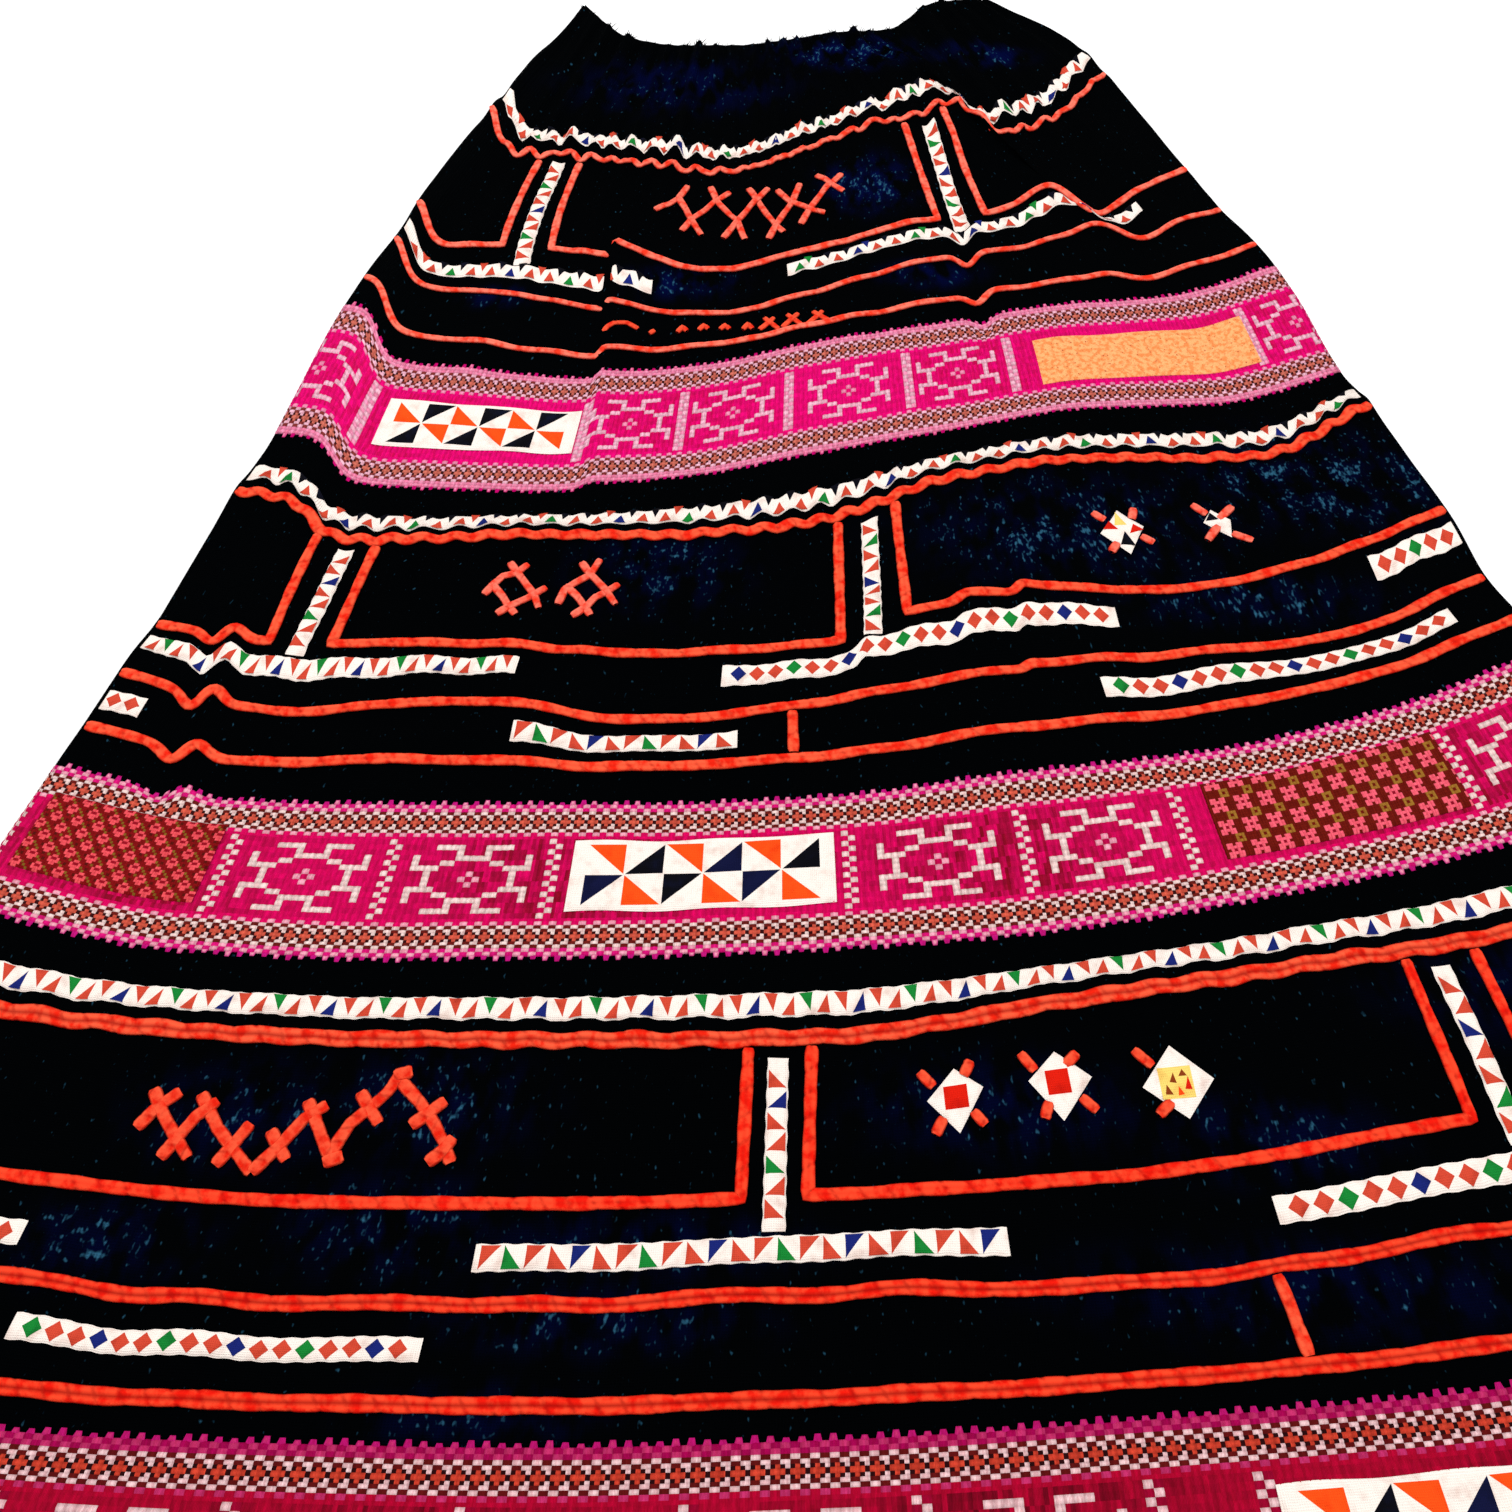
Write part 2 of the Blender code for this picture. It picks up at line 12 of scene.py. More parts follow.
import bmesh
import bpy
import numpy as np
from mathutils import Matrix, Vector


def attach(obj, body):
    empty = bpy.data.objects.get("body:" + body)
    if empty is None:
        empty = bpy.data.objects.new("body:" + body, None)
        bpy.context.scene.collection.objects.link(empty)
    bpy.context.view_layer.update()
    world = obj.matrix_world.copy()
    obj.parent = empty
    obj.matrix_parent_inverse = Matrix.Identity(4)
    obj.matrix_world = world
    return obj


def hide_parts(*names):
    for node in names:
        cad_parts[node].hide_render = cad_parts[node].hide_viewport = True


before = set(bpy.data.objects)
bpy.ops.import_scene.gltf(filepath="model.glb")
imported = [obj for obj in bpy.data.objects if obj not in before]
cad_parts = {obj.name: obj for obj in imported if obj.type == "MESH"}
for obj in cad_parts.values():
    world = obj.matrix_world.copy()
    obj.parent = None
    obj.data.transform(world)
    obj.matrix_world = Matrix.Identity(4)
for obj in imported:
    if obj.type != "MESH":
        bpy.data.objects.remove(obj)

log = logging.getLogger("skirt")

MM = 0.001

# Distances in metres within which the seams of a piece close
WELD = 1e-6
CORD_WELD = 2e-6

TURN = 2.0 * math.pi
Array = np.ndarray
Node = bpy.types.Node
Socket = bpy.types.NodeSocket
Tree = bpy.types.NodeTree
Material = bpy.types.Material
Mesh = bpy.types.Mesh
Piece = bpy.types.Object
Pair = tuple[float, float]
Triple = tuple[float, float, float]
Place = Callable[[Array, Array, Array], Array]

# The form of the cloth, as the solids have it
LOFT = 4.6
EDGE_ROUND = 2.0
GATHERS = 24
WAIST = 1020.0
STATIONS = (-1.0, -0.75, -0.5, -0.25, 0.0, 0.25, 0.5, 0.75, 1.0)
TOOTH_REACH = 45.0
RIDGE_SPREAD = 1.3
CREST_REACH = 13.0
TUCK_DEPTH = 5.0
TUCK_WIDTH = 2.6

# Height and scallop of the waist's gathers at each height up the skirt
GATHER_HEIGHTS = (804, 850, 898, 918, 955, 1020)
GATHER_CRESTS = (0.0, 0.8, 2.4, 3.6, 5.0, 6.4)
GATHER_SCALLOPS = (0.0, 0.6, 2.0, 3.0, 1.2, 1.6)

# Slow unevenness of the whole cloth: wave length across and up the skirt, start and height
SWELLS = ((96, 141, 0.4, 0.35), (57, 83, 2.1, 0.22), (181, 64, 4.0, 0.3), (38, 47, 1.1, 0.13))
SWELL_TURN = 6.283
CREASE_BEND = 0.0016
DEEPEST_TROUGH = -1.7


def smooth_through(places: Sequence[float], values: Sequence[float] | Array, at: Array) -> Array:
    """Follows a smooth curve through the given values, which never overshoots them.

    Args:
        places: Where the values stand, rising.
        values: One value for each place, or one row of values, a column for each of at.
        at: Where the curve is read.

    Returns:
        The curve's value at each of at.
    """
    knots = np.asarray(places, float)
    table = np.asarray(values, float)
    if table.ndim == 1:
        table = np.repeat(table[:, None], len(at), axis=1)
    at = np.clip(at, knots[0], knots[-1])
    slopes = np.diff(table, axis=0) / np.diff(knots)[:, None]
    before, after = slopes[:-1], slopes[1:]
    total = before + after
    level = np.where(total == 0.0, 1.0, total)
    middle = np.where(before * after > 0.0, 2.0 * before * after / level, 0.0)
    tangents = np.vstack([slopes[:1], middle, slopes[-1:]])
    cell = np.clip(np.searchsorted(knots, at, side="right") - 1, 0, len(knots) - 2)
    span = np.diff(knots)[cell]
    u = (at - knots[cell]) / span
    n = np.arange(len(at))
    return (
        (1 + 2 * u) * (1 - u) ** 2 * table[cell, n]
        + u * (1 - u) ** 2 * span * tangents[cell, n]
        + u * u * (3 - 2 * u) * table[cell + 1, n]
        - u * u * (1 - u) * span * tangents[cell + 1, n]
    )


@dataclass(frozen=True)
class Section:
    """A line across the skirt: its height on the axis, its ends and its climb at the stations."""

    name: str
    height: float
    left: float
    right: float
    climbs: tuple[float, ...]


SECTIONS = (
    Section("hem edge", 0, -520, 497, (26, 8, -1, -4, 0, 4, 13, 30, 55)),
    Section("band three top", 115, -489, 467, (25, 5, -1, -3, 0, 7, 16, 33, 60)),
    Section("tier three fold", 169, -472, 450, (26, 6, -4, -5, 0, 3, 18, 39, 66)),
    Section("tier three cord", 277, -436, 412, (21, 5, -1, -2, 0, 17, 33, 51, 83)),
    Section("band two foot", 320, -422, 398, (22, 0, -5, -4, 0, 9, 26, 49, 85)),
    Section("band two top", 399, -397, 371, (19, -2, -4, -4, 0, 14, 26, 51, 91)),
    Section("tier two fold", 457, -378, 349, (19, -6, 1, -11, 0, 19, 28, 42, 83)),
    Section("tier two frame foot", 492, -367, 340, (13, -1, 0, -7, 0, 27, 32, 53, 93)),
    Section("tier two cord", 575, -342, 316, (-4, -14, -10, -10, 0, 34, 47, 47, 91)),
    Section("band one foot", 627, -327, 304, (-22, -26, -29, -20, 0, 18, 35, 39, 65)),
    Section("band one top", 716, -303, 283, (-16, -21, -31, -22, 0, 16, 32, 40, 70)),
    Section("tier one fold", 760, -280, 258, (5, 0, -14, -22, 0, 28, 42, 57, 80)),
    Section("tier one frame foot", 804, -268, 240, (-1, 5, -4, -22, 0, 25, 38, 50, 82)),
    Section("yoke seam", 918, -222, 190, (-5, -7, -14, -22, 0, 30, 34, 30, 88)),
    Section("waist edge", 1020, -175, 122, (45, 3, -6, -6, 0, 10, 13, 47, 53)),
)


class FoldShape(Enum):
    """How a fold moves the cloth beside its line."""

    STEP = "moves all that lies left of it up the skirt"
    TOOTH = "moves what lies just right of it up the skirt"
    DIP = "pulls the line itself down"
    ROLL = "lifts the cloth on its left and lowers it on its right"


@dataclass(frozen=True)
class Fold:
    """A large fold along a line through three heights: top, middle and foot.

    A crisp fold overlaps the cloth on its left, and what is sewn on dips under it there.
    Above its top the line leans to the right by a share of the height.
    """

    name: str
    shape: FoldShape
    heights: Triple
    places: Triple
    sizes: Triple
    fade: float
    widths: Triple
    crest: float
    crisp: bool = False
    lean: float = 0.0

    def size(self, at: Array) -> Array:
        """The fold's size, which dies away above its top and below its foot."""
        rising = (self.heights[2] - self.fade, *self.heights[::-1], self.heights[0] + self.fade)
        return smooth_through(rising, (0.0, *self.sizes[::-1], 0.0), at)

    def share(self, at: Array) -> Array:
        """The fold's size at each height, as a share of its largest."""
        return np.abs(self.size(at)) / max(abs(size) for size in self.sizes)

    def offset(self, x: Array, at: Array) -> tuple[Array, Array]:
        """Measures how far points lie from the fold's line.

        Args:
            x: Distances from the axis.
            at: Heights up the skirt.

        Returns:
            The distances from the line, and the fold's width at each height.
        """
        rising = self.heights[::-1]
        line = smooth_through(rising, self.places[::-1], at)
        line = line + self.lean * np.maximum(at - self.heights[0], 0.0)
        return x - line, smooth_through(rising, self.widths[::-1], at)

    def shift(self, x: Array, at: Array) -> tuple[Array, Array]:
        """Says how the fold moves the cloth.

        Args:
            x: Distances from the axis.
            at: Heights up the skirt.

        Returns:
            How far it moves each point up the skirt, and how high the point stands on it.
        """
        size = self.size(at)
        offset, width = self.offset(x, at)
        reach = offset / width
        away = np.maximum(offset, 0.0)
        if self.shape is FoldShape.STEP:
            up = size * 0.5 * (1.0 - np.tanh(reach))
        elif self.shape is FoldShape.TOOTH:
            up = size * 0.5 * (1.0 + np.tanh(reach)) * np.exp(-away / TOOTH_REACH)
        elif self.shape is FoldShape.DIP:
            up = size * np.exp(-reach * reach)
        else:
            up = -size * reach * np.exp(0.5 - 0.5 * reach * reach)
        if self.crisp:
            rise = 0.5 * (1.0 + np.tanh(reach + 0.5)) * np.exp(-away / CREST_REACH)
        else:
            rise = np.exp(-((reach / RIDGE_SPREAD) ** 2))
        return up, self.crest * self.share(at) * rise

    def tuck(self, x: Array, at: Array) -> Array:
        """Says how deep a piece sewn on the cloth dips under a crisp fold.

        Args:
            x: Distances from the axis.
            at: Heights up the skirt.

        Returns:
            The depth at each point.
        """
        offset, width = self.offset(x, at)
        sharp = np.clip(TUCK_WIDTH - width, 0.0, 1.0)
        near = np.exp(-(((offset + 0.2 * width) / (1.5 * width)) ** 2))
        return TUCK_DEPTH * self.share(at) * sharp * near


FOLDS = (
    Fold("side pleat", FoldShape.STEP, (948, 770, 590), (-205, -268, -295), (65, 55, 30),
         90, (9, 9, 12), 5.0, True, 0.3),
    Fold("middle crease", FoldShape.TOOTH, (812, 752, 627), (-138, -141, -144), (14, 7, 5),
         18, (1.3, 1.6, 4.4), 3.0, True),
    Fold("right crease", FoldShape.DIP, (825, 765, 715), (82, 86, 92), (-6, -12, -8),
         25, (8, 7, 7), 1.5),
    Fold("long slant", FoldShape.ROLL, (948, 830, 760), (74, 140, 185), (15, 17, 10),
         40, (18, 17, 18), 4.0),
    Fold("left ripple", FoldShape.ROLL, (505, 455, 405), (-326, -330, -334), (-5, -7, -5),
         20, (6, 6, 7), 1.5),
    Fold("tier two pinch", FoldShape.TOOTH, (505, 490, 470), (8, 8, 8), (7, 9, 7),
         15, (3, 3, 3), 1.4),
    Fold("tier two pucker", FoldShape.TOOTH, (520, 495, 465), (62, 62, 62), (6, 6, 5),
         10, (4, 4, 4), 0.8),
    Fold("tier two tuck", FoldShape.TOOTH, (525, 495, 460), (94, 94, 94), (7, 8, 6),
         12, (3, 3, 3), 1.2),
)


@dataclass(frozen=True)
class Pucker:
    """Small even waves that a tight line of sewing pulls the cloth into."""

    at: float
    reach: float
    wave: float
    shift: float
    lift: float


PUCKERS = (
    Pucker(908, 19, 14.5, 3.5, 1.7),
    Pucker(584, 17, 16.5, 2.2, 1.4),
    Pucker(286, 16, 25.0, 0.9, 0.8),
    Pucker(781, 13, 18.0, 1.5, 0.9),
    Pucker(478, 14, 38.0, 1.5, 0.8),
    Pucker(746, 22, 44.0, 1.6, 0.9),
    Pucker(440, 22, 61.0, 1.4, 0.9),
    Pucker(160, 26, 74.0, 1.2, 0.9),
)


@dataclass(frozen=True)
class Crease:
    """A soft ridge, or a trough where its height is negative, placed on the cloth."""

    x: float
    at: float
    slant: float
    length: float
    width: float
    height: float


CREASES = tuple(Crease(*crease) for crease in (
    (120, 866, -61, 84, 4.5, 2.2), (96, 912, -66, 40, 4.0, 1.6), (-60, 850, 78, 60, 9, 1.6),
    (10, 842, 96, 48, 7, -1.4), (48, 852, 100, 70, 10, 1.9), (-150, 838, 84, 44, 8, 1.3),
    (118, 838, 128, 60, 9, 2.2), (160, 812, 136, 66, 8, -1.8), (-214, 842, 70, 52, 9, 1.7),
    (190, 856, 118, 46, 8, 1.5), (-96, 958, 82, 52, 8, 2.2), (-20, 962, 97, 60, 9, 1.8),
    (52, 968, 106, 44, 8, 2.4), (-52, 744, 92, 30, 10, 1.2), (30, 738, 80, 36, 12, -1.1),
    (148, 742, 110, 40, 9, 1.4), (-205, 742, 62, 44, 10, 1.3), (-240, 528, 88, 66, 11, 1.5),
    (-150, 520, 95, 50, 9, -1.2), (-66, 536, 84, 58, 12, 1.4), (132, 512, 102, 62, 12, 1.7),
    (212, 524, 96, 74, 14, -1.5), (262, 540, 108, 56, 10, 1.8), (-296, 470, 60, 40, 9, 1.3),
    (-190, 440, 14, 70, 8, 1.1), (46, 440, 170, 60, 7, 1.2), (196, 446, 158, 80, 9, 1.4),
    (-336, 238, 86, 70, 14, 1.5), (-212, 236, 98, 60, 11, -1.3), (-108, 228, 90, 66, 12, 1.5),
    (26, 240, 84, 54, 11, 1.3), (108, 232, 98, 72, 13, -1.4), (222, 246, 92, 64, 12, 1.7),
    (318, 248, 104, 70, 12, 1.6), (-290, 150, 8, 90, 9, 1.2), (-80, 148, 174, 110, 10, 1.3),
    (150, 160, 166, 100, 9, 1.3), (330, 176, 160, 90, 10, 1.4), (-180, 672, 82, 40, 14, 0.9),
    (40, 672, 96, 40, 13, 0.9), (-300, 362, 84, 40, 15, 1.0), (240, 366, 100, 44, 15, 1.1),
    (60, 360, 88, 40, 14, -0.7), (-330, 72, 90, 50, 18, 1.0), (-40, 68, 86, 50, 18, 1.1),
    (260, 74, 96, 50, 17, 1.0),
))


@dataclass(frozen=True)
class PaintedSheenSpot:
    """Where glints and a blue sheen are painted on the cloth: its middle, reach, strength and
    bloom.
    """

    x: float
    y: float
    wide: float
    high: float
    strength: float
    bloom: float = 0.3


PAINTED_SHEEN_SPOTS = tuple(PaintedSheenSpot(*spot) for spot in (
    (125, 570, 80, 38, 0.75), (275, 606, 74, 34, 0.85), (-99, 541, 42, 26, 0.6),
    (217, 521, 66, 16, 0.8), (28, 866, 26, 24, 1.0, 1.0), (-95, 769, 32, 13, 0.7, 0.7),
    (-207, 756, 20, 9, 0.5, 0.5), (63, 778, 27, 11, 0.5, 0.7), (112, 1004, 30, 12, 0.6, 0.8),
    (-100, 968, 64, 26, 0.3, 0.5), (18, 1008, 46, 16, 0.8, 1.0), (-316, 189, 38, 16, 0.7),
    (-200, 196, 44, 20, 0.65), (-110, 158, 58, 13, 0.6), (-190, 246, 44, 22, 0.7),
    (173, 231, 46, 18, 0.5), (-266, 242, 44, 22, 0.6), (-155, 123, 42, 11, 0.5),
    (60, 246, 60, 20, 0.4), (-95, 187, 60, 14, 0.4), (330, 300, 80, 24, 0.4),
    (180, 170, 90, 18, 0.35),
))


@dataclass
class SkirtForm:
    """The surface that every piece of the skirt lies on."""

    sections: tuple[Section, ...] = SECTIONS
    folds: tuple[Fold, ...] = FOLDS
    search_steps: int = 8

    def __post_init__(self) -> None:
        """Puts the origin in the middle of the outline, as the solids have it."""
        log.info("lines: %s", ", ".join(section.name for section in self.sections))
        log.info("folds: %s", ", ".join(fold.name for fold in self.folds))
        self.heights = [section.height for section in self.sections]
        across = np.linspace(-1.0, 1.0, 2 * GATHERS + 1)
        hem = self.front(across, np.full(len(across), 0.0), fine=False)
        waist = self.front(across, np.full(len(across), WAIST), fine=False)
        self.middle = np.array([0.5 * (hem[:, 0].min() + hem[:, 0].max()),
                                0.5 * (hem[:, 1].min() + waist[:, 1].max()), 0.0])

    def outline(self, at: Array) -> tuple[Array, Array]:
        """The left and the right end of the flat cloth at each height."""
        left = smooth_through(self.heights, [s.left for s in self.sections], at)
        return left, smooth_through(self.heights, [s.right for s in self.sections], at)

    def half_width(self, at: float) -> float:
        """Half of the flat width at one height."""
        left, right = self.outline(np.array([float(at)]))
        return float(0.5 * (right - left)[0])

    def across_of(self, x: float, at: float) -> float:
        """Place across the skirt, from -1 to 1, of a distance from its axis."""
        left, right = self.outline(np.array([float(at)]))
        return float(((2.0 * x - left - right) / (right - left))[0])

    def from_axis(self, across: Array, at: Array) -> Array:
        """Distances from the axis of places across the skirt."""
        left, right = self.outline(at)
        return 0.5 * (left + right) + 0.5 * (right - left) * across

    def fine_relief(self, x: Array, at: Array) -> tuple[Array, Array]:
        """Sums up puckers, creases and slow swells.

        Args:
            x: Distances from the axis.
            at: Heights up the skirt.

        Returns:
            How far they move the cloth up the skirt, and how high they lift it.
        """
        shift, lift = np.zeros(len(x)), np.zeros(len(x))
        for pucker in PUCKERS:
            near = np.exp(-(((at - pucker.at) / pucker.reach) ** 2))
            uneven = 0.9 * np.sin(x / 61.0 + pucker.at) + 0.5 * np.sin(x / 23.0)
            turn = TURN * x / pucker.wave + uneven
            strength = 0.72 + 0.28 * np.sin(x / 47.0 + 0.013 * pucker.at)
            shift += pucker.shift * strength * near * np.sin(turn)
            lift += pucker.lift * strength * near * (0.5 + 0.5 * np.cos(turn))
        for crease in CREASES:
            turn = math.radians(crease.slant)
            along = (x - crease.x) * math.cos(turn) + (at - crease.at) * math.sin(turn)
            off = (at - crease.at) * math.cos(turn) - (x - crease.x) * math.sin(turn)
            bend = off - CREASE_BEND * along * along
            lift += crease.height * np.exp(-((bend / crease.width) ** 2)
                                           - (along / crease.length) ** 4)
        for long, high, start, size in SWELLS:
            lift += (size * np.sin(SWELL_TURN * x / long + start)
                     * np.sin(SWELL_TURN * at / high + start))
        return shift, np.maximum(lift, DEEPEST_TROUGH)

    def gather_wave(self, across: Array, fine: bool) -> Array:
        """Follows the gathers of the waist.

        Args:
            across: Places from -1 to 1.
            fine: Whether they are as uneven as on the real cloth.

        Returns:
            One at the crest of a gather and zero in its trough.
        """
        turn = math.pi * GATHERS * (across + 1.0)
        if not fine:
            return 0.5 + 0.5 * np.cos(turn)
        turn = turn + 1.3 * np.sin(5.0 * across + 0.8) + 0.9 * np.sin(13.0 * across)
        uneven = 0.60 + 0.24 * np.sin(17.0 * across + 2.0) + 0.16 * np.sin(41.0 * across)
        small = 0.5 + 0.5 * np.cos(2.37 * turn + 1.0)
        return np.clip(uneven * (0.5 + 0.5 * np.cos(turn)) + 0.24 * small, 0.0, 1.0)

    def front(self, across: Array, at: Array, fine: bool = True) -> Array:
        """Lays out points of the front's outer face.

        Args:
            across: Places from -1 to 1.
            at: Heights up the skirt.
            fine: Whether puckers and creases are counted in.

        Returns:
            One row for each point, in millimetres from the axis and the hem.
        """
        across, at = np.asarray(across, float).ravel(), np.asarray(at, float).ravel()
        climbs = [smooth_through(STATIONS, s.climbs, across) for s in self.sections]
        x = self.from_axis(across, at)
        y = at + smooth_through(self.heights, climbs, at)
        z = np.full(len(at), LOFT)
        for fold in self.folds:
            up, rise = fold.shift(x, at)
            y, z = y + up, z + rise
        wave = self.gather_wave(across, fine)
        y = y + smooth_through(GATHER_HEIGHTS, GATHER_SCALLOPS, at) * (wave - 0.5)
        z = z + smooth_through(GATHER_HEIGHTS, GATHER_CRESTS, at) * wave
        if fine:
            shift, lift = self.fine_relief(x, at)
            y, z = y + shift, z + lift
        return np.stack([x, y, z], axis=1)

    def painted_sheen_at(self, points: Array) -> Array:
        """Says how strong the painted glints and the painted blue sheen are.

        Args:
            points: Points of the cloth, in metres from the origin.

        Returns:
            For each point its painted glints and its painted blue sheen, from 0 to 1, and a zero.
        """
        seen = points / MM + self.middle
        painted_sheen = np.zeros((len(seen), 3))
        for spot in PAINTED_SHEEN_SPOTS:
            reach = ((seen[:, 0] - spot.x) / spot.wide) ** 2
            reach += ((seen[:, 1] - spot.y) / spot.high) ** 2
            both = np.array([spot.strength, spot.bloom, 0.0])
            painted_sheen = np.maximum(painted_sheen, np.exp(-(reach[:, None] ** 1.5)) * both)
        return painted_sheen

    def placed(self, points: Array) -> Array:
        """Points in metres from the origin."""
        return (points - self.middle) * MM

    def on_front(self, across: Array, at: Array, lift: Array | float) -> Array:
        """Lays out points that lie a little above the front.

        Args:
            across: Places from -1 to 1.
            at: Heights up the skirt.
            lift: Heights above the cloth.

        Returns:
            Points in metres from the origin.
        """
        across, at = np.asarray(across, float).ravel(), np.asarray(at, float).ravel()
        points = self.front(across, at)
        x = self.from_axis(across, at)
        depth = np.zeros(len(x))
        for fold in self.folds:
            if fold.crisp:
                depth += fold.tuck(x, at)
        points[:, 2] += lift - depth
        return self.placed(points)

    def place_at(self, x: float, y: float) -> Pair:
        """Finds where on the cloth a point lies that is seen at some place.

        Args:
            x: Its distance from the axis.
            y: Its height above the hem as it lies, folds and sweep counted in.

        Returns:
            Its place across the skirt, and its height up the flat cloth.
        """
        at = y
        for _ in range(self.search_steps):
            across = self.across_of(x, at)
            at += y - float(self.front(np.array([across]), np.array([at]), fine=False)[0, 1])
        return self.across_of(x, at), at


# Colour and finishes

# A wave texture of scale 1 repeats after this many metres
WAVE_REPEAT = 0.314

# What every node of a kind has here, and which output is read where it isn't the first
KIND_SETTINGS = {"MapRange": {"interpolation_type": "SMOOTHSTEP"}, "Mix": {"data_type": "RGBA"}}
MAIN_OUTPUT = {"ShaderNodeMix": 2, "ShaderNodeTexWave": 1}


def linear(code: str) -> tuple[float, float, float, float]:
    """Turns an sRGB hex value to a linear colour.

    Args:
        code: The hex value, with its leading mark.

    Returns:
        Red, green, blue and alpha.
    """
    channels = [int(code[i:i + 2], 16) / 255.0 for i in (1, 3, 5)]
    r, g, b = (c / 12.92 if c <= 0.04045 else ((c + 0.055) / 1.055) ** 2.4 for c in channels)
    return (r, g, b, 1.0)


def own_tree(owner: Material | bpy.types.World) -> Tree:
    """The tree of a material or a world, which gets nodes of its own."""
    owner.use_nodes = True
    return owner.node_tree


def fill(tree: Tree, node: Node, inputs: dict[str | int, object]) -> None:
    """Links or sets the inputs of a node.

    Args:
        tree: The tree that it stands in.
        node: The node.
        inputs: What each input gets: a node or socket that it reads, a hex colour or a value.
    """
    for name, value in inputs.items():
        if isinstance(value, Node):
            value = value.outputs[MAIN_OUTPUT.get(value.bl_idname, 0)]
        if isinstance(value, Socket):
            tree.links.new(value, node.inputs[name])
        else:
            node.inputs[name].default_value = linear(value) if isinstance(value, str) else value


def add_node(tree: Tree, kind: str, inputs: dict[str | int, object], **settings: object) -> Node:
    """Adds a node with its settings and links.

    Args:
        tree: The material's tree.
        kind: The node's type, without the words that all types start with.
        inputs: What each input gets, as fill takes it.
        **settings: The node's own properties.

    Returns:
        The new node.
    """
    node = tree.nodes.new("ShaderNode" + kind)
    for name, value in (KIND_SETTINGS.get(kind, {}) | settings).items():
        setattr(node, name, value)
    fill(tree, node, inputs)
    return node


def woven(tree: Tree, uv: Node, thread: float) -> Node:
    """Adds the height of a plain weave, the higher of its warp and its weft.

    Args:
        tree: The material's tree.
        uv: The cloth map.
        thread: Spacing of the threads, drawn as coarse as it needs to be to show.

    Returns:
        The node that gives the height.
    """
    look = {"Vector": uv, "Scale": WAVE_REPEAT / (thread * MM), "Distortion": 2.0,
            "Detail": 1.0, "Detail Scale": 0.6}
    warp, weft = (add_node(tree, "TexWave", look, bands_direction=way) for way in "XY")
    return add_node(tree, "Math", {0: warp, 1: weft}, operation="MAXIMUM")


class Finish:
    """What the skirt's finishes share: they are dull, and their relief is in millimetres.

    Each says in millimetres how large its pattern is: the spacing of threads, or the grain of
    a noise.
    """

    name: str
    roughness = 0.85
    gloss = 0.06
    ior = 1.5
    relief = 0.25

    def pattern(self, tree: Tree, uv: Node) -> tuple[Node, Node]:
        """Draws the finish, each in its own way.

        Args:
            tree: The material's tree.
            uv: The cloth map, in metres on the flat piece.

        Returns:
            Its colour and its height.
        """
        raise NotImplementedError

    def make(self) -> Material:
        """Builds the material.

        Returns:
            The material.
        """
        material = bpy.data.materials.new(self.name)
        tree = own_tree(material)
        colour, height = self.pattern(tree, add_node(tree, "UVMap", {}, uv_map="cloth"))
        bump = add_node(tree, "Bump", {"Distance": self.relief * MM, "Height": height})
        fill(tree, tree.nodes["Principled BSDF"],
             {"Base Color": colour, "Normal": bump, "Roughness": self.roughness,
              "IOR": self.ior, "Specular IOR Level": self.gloss})
        return material


@dataclass(frozen=True)
class IndigoHemp(Finish):
    """Hand-woven hemp, dyed and beaten to a near-black indigo.

    The eye gets a deep matt black, with a painted blue sheen and painted glints in listed spots.
    """

    name: str = "indigo_hemp"
    ground: str = "#010203"
    sheen: str = "#020a40"
    glint: str = "#2f6480"
    # Real threads lie about 0.6 mm apart, too fine to show, so they are drawn twice as coarse
    thread: float = 1.2
    fleck: float = 2.5
    patch: float = 13.3333
    roughness: float = 0.9
    gloss: float = 0.008
    ior: float = 1.45
    relief: float = 0.5

    def pattern(self, tree: Tree, uv: Node) -> tuple[Node, Node]:
        """Draws the black ground, its painted blue sheen and its painted glints.

        Args:
            tree: The material's tree.
            uv: The cloth map, in metres on the flat piece.

        Returns:
            Its colour and the height of its weave.
        """
        # Painted light: in the listed spots a painted blue sheen is mixed in, and noise specks
        # that pass a threshold, which the spots lower, turn to painted glints
        painted_sheen = add_node(tree, "Attribute", {}, attribute_name="painted_sheen").outputs["Vector"]
        flecked, bloom, _ = add_node(tree, "SeparateXYZ", {0: painted_sheen}).outputs
        upright = add_node(tree, "Mapping", {0: uv, "Scale": (1.0, 0.6, 1.0)})
        specks = add_node(tree, "TexNoise", {"Vector": upright, "Scale": 1 / (self.fleck * MM),
                                             "Detail": 1.0, "Roughness": 0.6})
        patches = add_node(tree, "TexNoise", {"Vector": upright, "Scale": 1 / (self.patch * MM),
                                              "Detail": 3.0})
        uneven = add_node(tree, "MapRange", {0: patches, 1: 0.38, 2: 0.66})
        painted_sheen = add_node(tree, "Math", {0: flecked, 1: uneven}, operation="MULTIPLY")
        raised = add_node(tree, "Math", {0: painted_sheen, 1: 0.32}, operation="MULTIPLY")
        turned = add_node(tree, "Math", {0: raised, 1: specks}, operation="ADD")
        fleck = add_node(tree, "MapRange", {0: turned, 1: 0.69, 2: 0.93, 4: 0.85})
        blue = add_node(tree, "Math", {0: bloom, 1: uneven}, operation="MULTIPLY")
        colour = add_node(tree, "Mix", {0: blue, 6: self.ground, 7: self.sheen})
        colour = add_node(tree, "Mix", {0: fleck, 6: colour, 7: self.glint})
        return colour, woven(tree, uv, self.thread)


